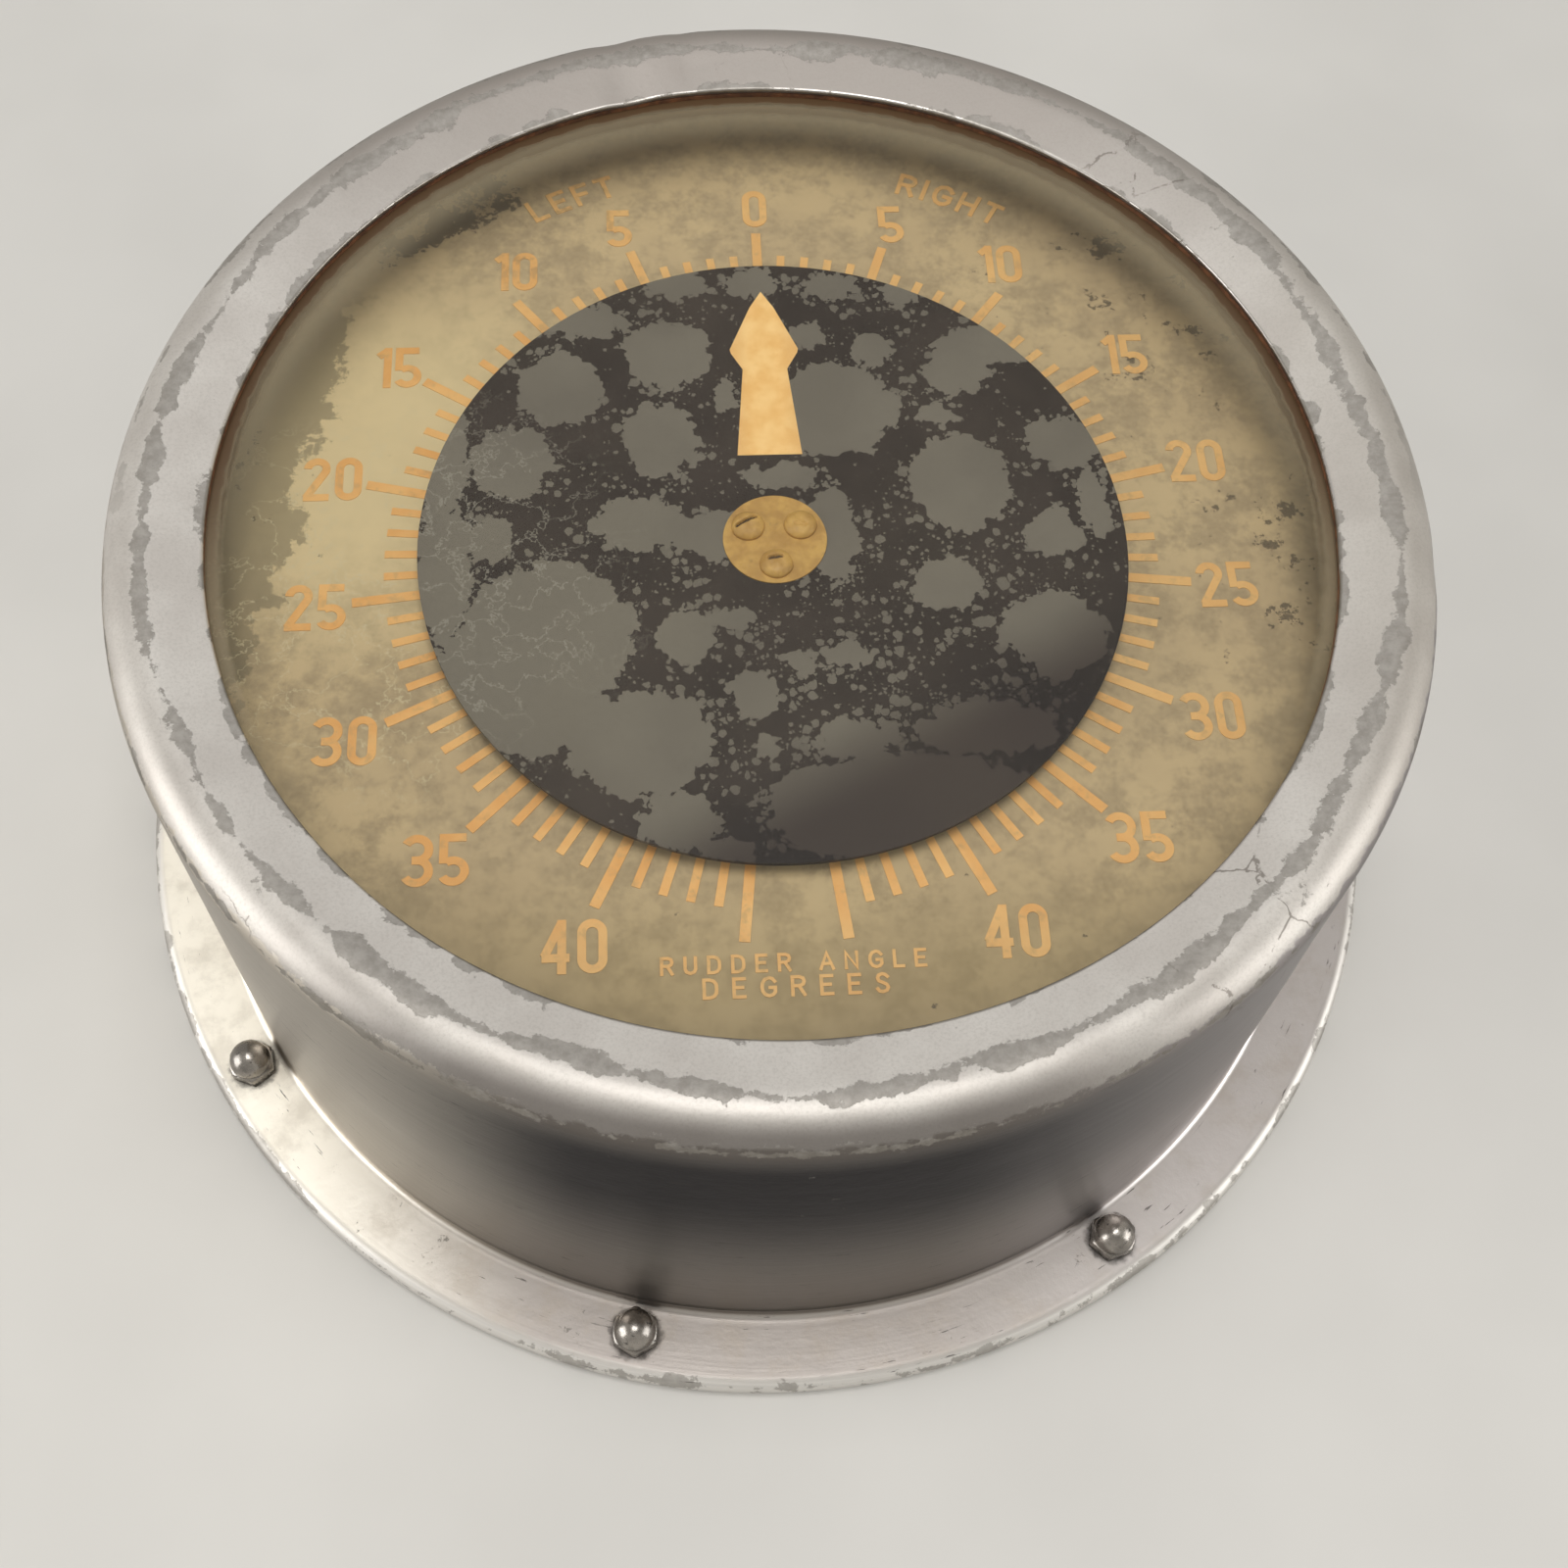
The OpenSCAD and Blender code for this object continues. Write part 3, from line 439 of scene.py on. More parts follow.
def buildCase(c):
    cx, cz = c["shoulder"]
    gap = math.hypot(cx - c["lipR"], cz - c["lipZ"])
    slope = math.atan2(cz - c["lipZ"], cx - c["lipR"]) + math.asin(c["shoulderR"] / gap)
    draft = math.degrees(math.atan((c["footR"] - cx - c["shoulderR"]) / (cz - c["flangeTop"])))
    lean, points = math.radians(draft), c["points"]
    crest = arcPath((cx, cz), c["shoulderR"], 90 + math.degrees(slope), draft, points["crest"])
    footZ = c["flangeTop"] + c["footFillet"] * (1 - math.sin(lean))
    footR = cx + c["shoulderR"] + (cz - footZ) * math.tan(lean)
    path = linePath((c["lipR"], c["lipZ"]), crest[0][:2], points["ring"])[:-1] + crest
    path += linePath(crest[-1][:2], (footR, footZ), points["wall"])[1:]
    profile = sheetProfile(path, c["sheet"], roundStart=c["edgeR"])
    verts, faces = turned(profile, c["steps"], metalWander)
    piece("caseCover", verts, faces, agedPaint, "case", ["cover_shell"])
    fillet = (footR + c["footFillet"] * math.cos(lean), footZ + c["footFillet"] * math.sin(lean))
    path = arcPath(fillet, c["footFillet"], 180 + draft, 270, points["fillet"], outward=False)
    top = c["flangeTop"]
    path += linePath((fillet[0], top), (c["rim"][0], top), points["flange"])[1:-1]
    path += arcPath(c["rim"], c["rimR"], 90, -100, points["rim"])
    profile = sheetProfile(path, c["sheet"], roundEnd=c["rimEdgeR"])
    verts, faces = turned(profile, c["steps"], metalWander)
    piece("caseFlange", verts, faces, agedPaint, "case", ["cover_flange"])


buildCase(case)
print("case turned")


# cap nuts

nutSteel = Finish("nutSteel", Metallic=1.0, Roughness=0.2)


def mixNutSteel(f):
    # dark polished plate with paint left in the corners
    low = f.spread(f.z, 8.6, 7.2)
    patch = f.spread(f.plus(f.grain(1.4, 5, 0.7), f.times(low, 0.16)), 0.60, 0.66)
    tone = f.mix(f.spread(f.grain(3.5, 4, 0.6, seed=2), 0.3, 0.7), (126, 122, 117), (166, 160, 153))
    f.put("Base Color", f.mix(patch, tone, (58, 54, 48)))
    f.put("Roughness", f.plus(f.spread(f.grain(2, 4, 0.6, seed=3), 0.3, 0.7, 0.20, 0.34),
                              f.times(patch, 0.35)))
    f.put("Metallic", f.minus(1.0, f.times(patch, 0.7)))
    f.put("Normal", f.relief(f.grain(0.9, 4, 0.6, seed=4), 0.03))


mixNutSteel(nutSteel)


def buildCapNuts(n):
    verts, faces, around = [], [], n["around"]
    hexTop, crown = n["levels"][-1][0], n["height"] - n["domeR"]
    bends = [i / n["domeRings"] * math.pi / 2 for i in range(n["domeRings"])]
    levels = [*n["levels"], (hexTop + n["edge"], n["domeR"])]
    levels += [(crown + n["domeR"] * math.sin(b), n["domeR"] * math.cos(b)) for b in bends]
    for k in range(n["count"]):
        way = math.radians(n["turn"] + 360 / n["count"] * k)
        cx, cy = n["r"] * math.cos(way), n["r"] * math.sin(way)
        twist = 0.4 + k * 1.9
        base = len(verts)
        for level, limit in levels:
            for i in range(around):
                a = math.tau * i / around
                side = (a % (math.pi / 3)) - math.pi / 6
                flat = n["flats"] / 2 / math.cos(side)
                flat *= n["wornCorner"] if abs(side) > 0.5 else 1
                r = min(limit, flat) if level <= hexTop else limit
                verts.append((cx + r * math.cos(a + twist), cy + r * math.sin(a + twist),
                              case["flangeTop"] + level))
        for j in range(len(levels) - 1):
            for i in range(around):
                m = (i + 1) % around
                faces.append((base + j * around + i, base + j * around + m,
                              base + (j + 1) * around + m, base + (j + 1) * around + i))
        verts.append((cx, cy, case["flangeTop"] + n["height"]))
        top = base + (len(levels) - 1) * around
        faces += [(top + i, top + (i + 1) % around, len(verts) - 1) for i in range(around)]
        faces.append(tuple(base + i for i in range(around))[::-1])
    nuts = piece("capNuts", verts, faces, nutSteel, "case", ["acorn_nuts"])
    nuts.data.set_sharp_from_angle(angle=math.radians(n["sharp"]))


buildCapNuts(nutRing)
print("cap nuts made")


# dial: plate, marks, numerals and words

dial = {"face": 104.8}  # height of its painted face
dialPaint = Finish("dialPaint", Roughness=0.6, Specular_IOR_Level=0.3)


def agedLines(f, size, seed, width):
    # thin wandering tide lines that damp has left
    n = f.grain(size, 5, 0.62, seed=seed, twist=0.2)
    gap = f.math("ABSOLUTE", f.minus(n, 0.5))
    return f.spread(gap, width, width * 0.35)


def leftDamp(f):
    # 1 over the lower left part of the dial, where the tide lines are
    away = f.vector("DISTANCE", f.at, (-78, -8, 105))
    away = f.plus(away, f.times(f.grain(16, 4, 0.6, seed=21), 30))
    return f.spread(away, 72, 48)


def mixDialPaint(f):
    # tan lacquer, mottled olive and brown, with a painted pool of light on the left, painted shade
    # towards the edge, and stains
    broad = f.grain(42, 3, 0.5, seed=1)
    mottle = f.grain(8, 9, 0.68, seed=2)
    speck = f.grain(1.5, 5, 0.75, seed=3)
    tan = f.mix(f.spread(broad, 0.36, 0.64), (182, 160, 122), (194, 171, 129))
    olive = f.mix(f.spread(speck, 0.35, 0.65), (150, 132, 101), (166, 147, 114))
    colour = f.mix(f.spread(mottle, 0.40, 0.62, 0.0, 0.8), tan, olive)
    # a painted pool of light on the left of the dial
    colour = f.coat(colour, (224, 203, 154), f.spot((-88, 30, 105), 66, 14), 0.75)
    colour = f.coat(colour, (148, 130, 90), f.spread(f.y, -62, -98), 0.55)
    edge = f.plus(f.r, f.times(f.minus(mottle, 0.5), 16))
    # painted shade from the case's rim, darker towards the edge and most at the front
    for near, far, top, bottom, shade in ((98, 116, 0.12, 0.5, (140, 126, 96)),
                                          (114, 125, 0.1, 0.4, (96, 80, 56))):
        rimShade = f.times(f.spread(edge, near, far), f.spread(f.y, 40, -20, top, bottom))
        colour = f.mix(rimShade, colour, shade)
    # painted shade over the outer part on the left, with a ragged front
    front = f.plus(f.times(f.grain(11, 9, 0.7, seed=23), 34), f.times(f.x, -0.93))
    front = f.plus(front, f.times(f.y, 0.18))
    leftPaintedShade = f.times(f.spread(front, 110.5, 112), f.spread(f.y, 76, 60))
    colour = f.coat(colour, (118, 108, 82), leftPaintedShade, 0.62)
    stains = f.plus(f.times(f.grain(9, 9, 0.74, seed=5), 0.8),
                    f.times(f.grain(1.8, 4, 0.7, seed=6), 0.2))
    # worst at the top left, then at the left edge, the top right and the right
    topLeft = f.times(f.spot((-70, 94, 105), 28, 12), f.spread(edge, 107, 113))
    worst = f.most(f.times(topLeft, 0.17), f.times(f.spot((-112, 16, 105), 30, 8), 0.07),
                   f.times(f.spot((84, 66, 105), 46, 14), 0.08),
                   f.times(f.spot((112, -6, 105), 40, 12), 0.09))
    stained = f.spread(f.plus(stains, worst), 0.642, 0.662)
    colour = f.coat(colour, (76, 66, 52), stained, 0.78)
    tide = f.times(agedLines(f, 12, 7, 0.0085), leftDamp(f))
    colour = f.coat(colour, (204, 190, 152), tide, 0.6)
    f.put("Base Color", colour)
    f.put("Roughness", f.spread(mottle, 0.3, 0.7, 0.5, 0.72))
    f.put("Normal", f.relief(speck, 0.03))


mixDialPaint(dialPaint)
dress(dialPaint, "dial_plate")

amberInk = Finish("amberInk", Roughness=0.55, Specular_IOR_Level=0.3)


def mixAmberInk(f):
    # faded amber filling, thin in places so that the lacquer shows
    worn = f.spread(f.grain(3.2, 7, 0.7, seed=1), 0.50, 0.66)
    pale = f.times(f.spread(f.plus(f.x, f.y), -30, 60), 0.35)
    pale = f.most(pale, f.times(f.spread(f.y, -70, -92), 0.3))
    tone = f.mix(f.spread(f.grain(14, 4, 0.6, seed=2), 0.35, 0.65), (224, 164, 92), (233, 182, 112))
    colour = f.mix(pale, tone, (204, 172, 116))
    colour = f.coat(colour, (180, 152, 106), worn, 0.5)
    eaten = f.spread(f.grain(4.5, 6, 0.7, seed=4), 0.50, 0.60)
    eaten = f.times(f.spot((-50, 94, 105), 34, 10), eaten)
    colour = f.coat(colour, (140, 122, 88), eaten, 0.5)
    f.put("Base Color", colour)
    f.put("Roughness", f.spread(worn, 0, 1, 0.48, 0.65))
    f.put("Normal", f.relief(f.grain(1.0, 4, 0.6, seed=3), 0.02))


mixAmberInk(amberInk)
dress(amberInk, "dial_marks", "dial_numerals")

# letters as strokes on a cell one high; each stroke is a line of points
letters = {
    "A": (0.74, [[(0, 0), (0.37, 1), (0.74, 0)], [(0.13, 0.32), (0.61, 0.32)]]),
    "D": (0.66, [[(0, 0), (0, 1), (0.30, 1), (0.52, 0.92), (0.64, 0.74), (0.66, 0.5),
                  (0.64, 0.26), (0.52, 0.08), (0.30, 0), (0, 0)]]),
    "E": (0.56, [[(0.56, 1), (0, 1), (0, 0), (0.56, 0)], [(0, 0.52), (0.46, 0.52)]]),
    "F": (0.54, [[(0.54, 1), (0, 1), (0, 0)], [(0, 0.52), (0.46, 0.52)]]),
    "G": (0.70, [[(0.68, 0.80), (0.56, 0.95), (0.38, 1), (0.16, 0.92), (0.03, 0.72), (0, 0.5),
                  (0.03, 0.28), (0.16, 0.08), (0.38, 0), (0.58, 0.07), (0.70, 0.22), (0.70, 0.46),
                  (0.42, 0.46)]]),
    "H": (0.64, [[(0, 0), (0, 1)], [(0.64, 0), (0.64, 1)], [(0, 0.5), (0.64, 0.5)]]),
    "I": (0.0, [[(0, 0), (0, 1)]]),
    "L": (0.52, [[(0, 1), (0, 0), (0.52, 0)]]),
    "N": (0.66, [[(0, 0), (0, 1), (0.66, 0), (0.66, 1)]]),
    "R": (0.62, [[(0, 0), (0, 1)], [(0.34, 0.5), (0.62, 0)],
                 [(0, 1), (0.38, 1), (0.56, 0.92), (0.62, 0.75), (0.56, 0.58), (0.38, 0.5),
                  (0, 0.5)]]),
    "S": (0.58, [[(0.56, 0.84), (0.44, 0.96), (0.28, 1), (0.10, 0.93), (0.03, 0.77), (0.10, 0.60),
                  (0.30, 0.51), (0.50, 0.40), (0.57, 0.24), (0.49, 0.07), (0.28, 0), (0.11, 0.04),
                  (0, 0.17)]]),
    "T": (0.60, [[(0, 1), (0.60, 1)], [(0.30, 1), (0.30, 0)]]),
    "U": (0.62, [[(0, 1), (0, 0.28), (0.08, 0.09), (0.31, 0), (0.54, 0.09), (0.62, 0.28),
                  (0.62, 1)]]),
    " ": (0.30, []),
}
words = {
    "rise": 0.15,
    "lift": 0.02,  # how much each stroke of a letter tops the one before, so that none share a face
    "arcs": (  # text, height, stroke, radius of its foot, clockwise angles of its ends
        ("LEFT", 5.4, 1.05, 104.0, -28.4, -17.8),
        ("RIGHT", 5.4, 1.05, 104.0, 18.7, 31.7)),
    "lines": (  # text, height, stroke, middle of its foot, width
        ("RUDDER ANGLE", 3.1, 0.62, (-0.8, -91.9), 49.0),
        ("DEGREES", 3.5, 0.66, (-0.6, -96.8), 34.0)),
}


def strokeRibbon(points, width, z0, z1, verts, faces):
    # one stroke as a flat bar with mitred corners and square ends
    flat = [Vector(p) for p in points]
    closed = (flat[0] - flat[-1]).length < 1e-6
    if closed:
        flat = flat[:-1]
    n, half = len(flat), width / 2
    past = half * 0.9  # how far a free end goes past its point
    base = len(verts)
    for i, p in enumerate(flat):
        before = flat[i - 1] if i or closed else None
        after = flat[(i + 1) % n] if i < n - 1 or closed else None
        d0 = (p - before).normalized() if before is not None else None
        d1 = (after - p).normalized() if after is not None else None
        d0, d1 = d0 or d1, d1 or d0
        side0, side1 = Vector((-d0.y, d0.x)), Vector((-d1.y, d1.x))
        mitre = (side0 + side1).normalized()
        reach = half / max(0.5, mitre.dot(side0))
        shift = Vector((0, 0))
        if before is None:
            shift = -d1 * past
        elif after is None:
            shift = d0 * past
        for side in (1, -1):
            q = p + mitre * reach * side + shift
            verts += [(q.x, q.y, z0), (q.x, q.y, z1)]
    for i in range(n if closed else n - 1):
        a, b = base + i * 4, base + ((i + 1) % n) * 4
        faces += [(a + 1, b + 1, b + 3, a + 3), (a, a + 2, b + 2, b),
                  (a, b, b + 1, a + 1), (a + 2, a + 3, b + 3, b + 2)]
    if not closed:
        a, b = base, base + (n - 1) * 4
        faces += [(a, a + 1, a + 3, a + 2), (b, b + 2, b + 3, b + 1)]


def buildWords(w):
    verts, faces = [], []
    z0, z1 = dial["face"], dial["face"] + w["rise"]

    def write(text, height, stroke, room, place):
        # the letters fill the room; place puts a point, along and above the foot, on the dial
        widths = [letters[c][0] * height for c in text]
        gap = (room - sum(widths)) / (len(text) - 1)
        start = 0.0
        for c, width in zip(text, widths):
            for k, line in enumerate(letters[c][1]):
                points = [place(start + u * height, v * height) for u, v in line]
                strokeRibbon(points, stroke, z0, z1 + k * w["lift"], verts, faces)
            start += width + gap

    for text, height, stroke, foot, a0, a1 in w["arcs"]:
        middle = foot + height / 2

        def bent(along, above):
            t = math.radians(a0) + along / middle
            return (foot + above) * math.sin(t), (foot + above) * math.cos(t)
        write(text, height, stroke, math.radians(a1 - a0) * middle, bent)
    for text, height, stroke, (x, y), room in w["lines"]:
        write(text, height, stroke, room, lambda along, above: (x - room / 2 + along, y + above))
    piece("dialWords", verts, faces, amberInk, "case", smooth=False)


buildWords(words)
print("dial painted and lettered")


# pointer: black disc with lifted paint, arrow, carrier and its screws

pointer = {"face": 109.8}  # height of the disc's top


def onPointer(px, py):
    # where the photograph's point lies on the disc, in millimetres
    turn = eye.rotation_quaternion
    half = camera["halfPicture"]
    scale = half / (0.5 * eye.data.sensor_width / eye.data.lens)
    ray = turn @ Vector(((px - half) / scale, (half - py) / scale, -1))
    start = Vector(camera["at"])
    hit = start + ray * ((pointer["face"] - start.z) / ray.z)
    return hit.x, hit.y


# each patch: its middle in the photograph, then half its width and depth there
liftedPatches = {
    "topLeft": (690, 292, 38, 17), "tip": (765, 290, 28, 16), "topRight": (848, 294, 28, 17),
    "farRight": (913, 302, 24, 10), "upperEdge": (602, 330, 46, 18),
    "shoulderLeft": (680, 362, 46, 36), "leftRound": (572, 396, 43, 40),
    "middleLeft": (674, 450, 42, 41), "leftSide": (525, 472, 44, 37),
    "besideTip": (820, 341, 19, 13), "besideArrow": (852, 417, 68, 48),
    "aboveBig": (888, 358, 26, 18), "underArrowSide": (741, 404, 14, 20),
    "rightUpper": (975, 380, 37, 25), "rightBig": (980, 490, 55, 49),
    "rightNeck": (955, 424, 24, 12), "rightEdge": (1010, 350, 58, 22),
    "rightRim": (1086, 450, 38, 30), "rightLow": (1075, 543, 31, 27),
    "rimBand": (1116, 515, 18, 42), "middleRight": (968, 595, 36, 29),
    "leftRimLow": (452, 590, 34, 78), "hubLeft": (726, 546, 52, 26),
    "hubFarLeft": (656, 536, 54, 27), "hubRight": (848, 542, 32, 52),
    "underArrow": (800, 484, 42, 14), "leftLow": (500, 552, 24, 26), "leftRim": (450, 468, 30, 78),
    "greatLeft": (560, 650, 90, 78), "greatLeftEdge": (500, 690, 56, 66),
    "greatLeftFoot": (536, 728, 72, 46), "lowMiddle": (655, 757, 76, 56),
    "fuzzy": (700, 652, 30, 30), "smallMiddle": (742, 632, 30, 14), "centreLow": (866, 668, 32, 15),
    "centreLowLeft": (815, 676, 20, 11), "rightFoot": (1074, 644, 56, 44),
    "broadFoot": (920, 822, 146, 58), "broadSide": (1010, 742, 78, 30),
    "belowHub": (768, 706, 26, 26), "footLeft": (695, 836, 44, 34), "footRim": (742, 868, 36, 12),
    "smallFoot": (784, 767, 13, 15), "centreWide": (875, 752, 52, 20),
}

blackDisc = Finish("blackDisc", Roughness=0.5, Specular_IOR_Level=0.14)


def mixBlackDisc(f):
    # black paint, lifted from its backing in round-lobed grey islands
    def warp(size, reach):
        bend = f.vector("SUBTRACT", f.add("ShaderNodeTexNoise", {
            "Vector": f.at, "Scale": 1 / size, "Detail": 5.0, "Roughness": 0.65}).outputs["Color"],
            (0.5, 0.5, 0.5))
        return f.vector("MULTIPLY_ADD", bend, (reach, reach, 0.0), f.at)
    bent, shaken = warp(6.0, 9.0), warp(1.2, 1.5)
    field = None  # millimetres outside the nearest island
    for px, py, wide, deep in liftedPatches.values():
        x, y = onPointer(px, py)
        halfX, halfY = onPointer(px + wide, py)[0] - x, onPointer(px, py - deep)[1] - y
        local = f.vector("MULTIPLY_ADD", bent, (1 / halfX, 1 / halfY, 0),
                         (-x / halfX, -y / halfY, 0))
        size = min(halfX, halfY)
        away = f.math("MULTIPLY_ADD", f.vector("LENGTH", local), size, -size)
        field = away if field is None else f.math("SMOOTH_MIN", field, away, 0.5)
    lobes = f.add("ShaderNodeTexVoronoi", {"Vector": shaken, "Scale": 0.5})
    lace = f.add("ShaderNodeTexVoronoi", {"Vector": shaken, "Scale": 1.1})
    ragged = f.times(f.minus(lobes.outputs["Distance"], 0.42), 2.0)
    ragged = f.plus(ragged, f.times(f.minus(lace.outputs["Distance"], 0.42), 1.0))
    ragged = f.plus(ragged, f.times(f.minus(f.grain(7, 3, 0.6, seed=4), 0.5), 3.0))
    islands = f.spread(f.plus(field, ragged), 0.08, -0.08)
    # crumbs between them, each of its own size, thick near the islands and over the lower right
    few = f.plus(f.grain(12, 3, 0.6, seed=6), f.times(f.spread(field, 5.0, 0.5), 0.10))
    few = f.plus(few, f.times(f.spot((26, -24, 110), 44, 16), 0.14))
    few = f.spread(few, 0.40, 0.72, 0.14, 0.78)
    crumbs = []
    for cells, share in ((lobes, 1.0), (lace, 0.62)):
        own = f.add("ShaderNodeSeparateXYZ", {0: cells.outputs["Color"]}).outputs[0]
        size = f.times(f.times(few, share), f.math("POWER", own, 1.6))
        crumbs.append(f.spread(f.minus(size, cells.outputs["Distance"]), -0.02, 0.03))
    lifted = f.most(islands, f.times(f.most(*crumbs), 0.85))
    grey = f.mix(f.spread(f.grain(26, 3, 0.5, seed=7), 0.35, 0.65), (104, 98, 87), (112, 106, 94))
    grey = f.coat(grey, (113, 107, 94), f.spot((-44, -16, 110), 40, 20), 0.7)
    footBrown = f.spread(f.math("MULTIPLY_ADD", f.x, -0.55, f.y), -44, -68)
    grey = f.coat(grey, (50, 41, 38), footBrown, 0.9)
    grey = f.coat(grey, (66, 60, 52), f.spread(f.grain(1.3, 5, 0.75, seed=10), 0.45, 0.7), 0.12)
    dark = f.mix(f.spread(f.grain(18, 5, 0.6, seed=8), 0.3, 0.7), (46, 39, 34), (58, 50, 44))
    dark = f.coat(dark, (26, 21, 20), footBrown, 0.85)
    colour = f.mix(lifted, dark, grey)
    tide = f.times(agedLines(f, 11, 7, 0.011), leftDamp(f))
    colour = f.coat(colour, (150, 145, 131), tide, 0.5)
    dust = f.spread(f.grain(0.55, 2, 0.9, seed=9), 0.80, 0.84)
    colour = f.coat(colour, (160, 152, 140), dust, 0.6)
    f.put("Base Color", colour)
    f.put("Roughness", f.plus(0.46, f.times(lifted, 0.12)))
    f.put("Normal", f.relief(lifted, 0.02))


mixBlackDisc(blackDisc)
dress(blackDisc, "pointer_disc")

arrowAmber = Finish("arrowAmber", Roughness=0.5, Specular_IOR_Level=0.35)


def mixArrowAmber(f):
    # clear amber filling, paler down its middle
    side = f.spread(f.math("ABSOLUTE", f.x), 2.5, 6.5)
    tone = f.mix(f.spread(f.grain(5, 5, 0.6, seed=1), 0.3, 0.7), (232, 180, 104), (244, 202, 132))
    colour = f.coat(tone, (206, 158, 96), side, 0.35)
    f.put("Base Color", colour)
    f.put("Roughness", f.spread(f.grain(7, 3, 0.5, seed=2), 0.3, 0.7, 0.42, 0.58))
    f.put("Normal", f.relief(f.grain(1.4, 3, 0.5, seed=3), 0.02))


mixArrowAmber(arrowAmber)
dress(arrowAmber, "pointer_arrow")

carrierPaint = Finish("carrierPaint", Roughness=0.5)


def mixCarrierPaint(f):
    # tan lacquer over the carrier and its screws, dirty in patches
    tone = f.mix(f.spread(f.grain(4, 6, 0.65, seed=1), 0.35, 0.65), (166, 126, 60), (190, 150, 76))
    dirt = f.spread(f.grain(2.0, 6, 0.7, seed=2), 0.60, 0.70)
    colour = f.coat(tone, (128, 100, 58), dirt, 0.45)
    f.put("Base Color", colour)
    f.put("Roughness", f.spread(f.grain(3, 4, 0.6, seed=3), 0.3, 0.7, 0.42, 0.62))
    f.put("Normal", f.relief(f.grain(1.1, 5, 0.65, seed=4), 0.07))


mixCarrierPaint(carrierPaint)
dress(carrierPaint, "pointer_carrier")

# darker brown for the deep faces of the screw slots: painted shade in the slots
slotPaintedShade = Finish("slotPaintedShade", Roughness=0.8)
slotPaintedShade.put("Base Color", slotPaintedShade.mix(slotPaintedShade.spread(slotPaintedShade.grain(0.8), 0.35, 0.65),
                                        (62, 46, 26), (98, 74, 40)))
hubScrews = {
    "circle": 6.2, "headR": 3.45, "height": 1.75, "foot": 110.0, "shankR": 1.45, "shank": 6.9,
    "slots": {  # place on the circle: turn of the slot, how far off centre, half length, depth
        30: (172, 0.5, 1.5, 0.35), 150: (28, 0.7, 2.7, 1.0), 270: (8, 0.9, 1.7, 0.8)},
    "slotHalf": 0.34, "slotEnd": 0.4,
    "rings": 26, "around": 84,
    "waver": 0.05, "slotWaver": 0.14, "lumps": 0.28,
}


def buildHubScrews(s):
    # soft domed heads with creased slots under their lacquer
    verts, faces, rings, around = [], [], s["rings"], s["around"]
    deepVerts = set()
    for place, (slotTurn, aside, reach, deep) in s["slots"].items():
        cx = s["circle"] * math.cos(math.radians(place))
        cy = s["circle"] * math.sin(math.radians(place))
        t = math.radians(slotTurn)
        base = len(verts)
        verts.append((cx, cy, s["foot"] + s["height"]))
        for j in range(1, rings + 1):
            u = j / rings
            for i in range(around):
                a = math.tau * i / around
                waver = 1 + s["waver"] * noise.noise(Vector((math.cos(a), math.sin(a), place)))
                x, y = s["headR"] * u * waver * math.cos(a), s["headR"] * u * waver * math.sin(a)
                dome = s["height"] * (1 - u ** 3.2) ** 0.55 if u < 1 else 0
                off = abs(-x * math.sin(t) + y * math.cos(t) - aside)
                off += s["slotWaver"] * noise.noise(Vector((x * 1.3, y * 1.3, place)))
                along = abs(x * math.cos(t) + y * math.sin(t))
                cut = min(1, max(0, (s["slotHalf"] * 1.7 - off) / s["slotHalf"]))
                cut *= min(1, max(0, (reach - along) / s["slotEnd"]))
                lift = s["lumps"] * noise.noise(Vector((x * 0.7 + place, y * 0.7, 3)))
                z = max(0, dome - deep * cut + lift * (1 - u)) if u < 1 else 0
                if cut > 0.45 and deep > 0.5:
                    deepVerts.add(len(verts))
                verts.append((cx + x, cy + y, s["foot"] + z))
        faces += [(base, base + 1 + i, base + 1 + (i + 1) % around) for i in range(around)]
        for j in range(rings - 1):
            for i in range(around):
                k = (i + 1) % around
                a0, b0 = base + 1 + j * around, base + 1 + (j + 1) * around
                faces.append((a0 + i, b0 + i, b0 + k, a0 + k))
        last = base + 1 + (rings - 1) * around
        tail = len(verts)
        for z in (s["foot"], s["foot"] - s["shank"]):
            for i in range(around):
                a = math.tau * i / around
                verts.append((cx + s["shankR"] * math.cos(a), cy + s["shankR"] * math.sin(a), z))
        verts.append((cx, cy, s["foot"] - s["shank"]))
        for i in range(around):
            k = (i + 1) % around
            faces += [(last + i, tail + i, tail + k, last + k),
                      (tail + i, tail + around + i, tail + around + k, tail + k),
                      (tail + around + i, len(verts) - 1, tail + around + k)]
    deepFaces = [i for i, face in enumerate(faces) if all(v in deepVerts for v in face)]
    piece("hubScrews", verts, faces, carrierPaint, "pointer", ["pointer_screws"],
          second=(slotPaintedShade, deepFaces))


buildHubScrews(hubScrews)
print("pointer painted")


# glass, its rubber and the parts behind

glass = {
    "dust": (0.002, 0.011),         # least and most of the film over the whole of it
    "haze": (99, 113, 0.36),        # pale dirt on its back part: radii and share
    "ring": (109.6, 111.3, 0.8),    # brown dirt along the rubber: radii and share
    "shine": 0.06,                  # roughness of what it reflects
    "bounce": (0.5, 0.013),         # what it reflects: gained towards grazing, and straight on
}


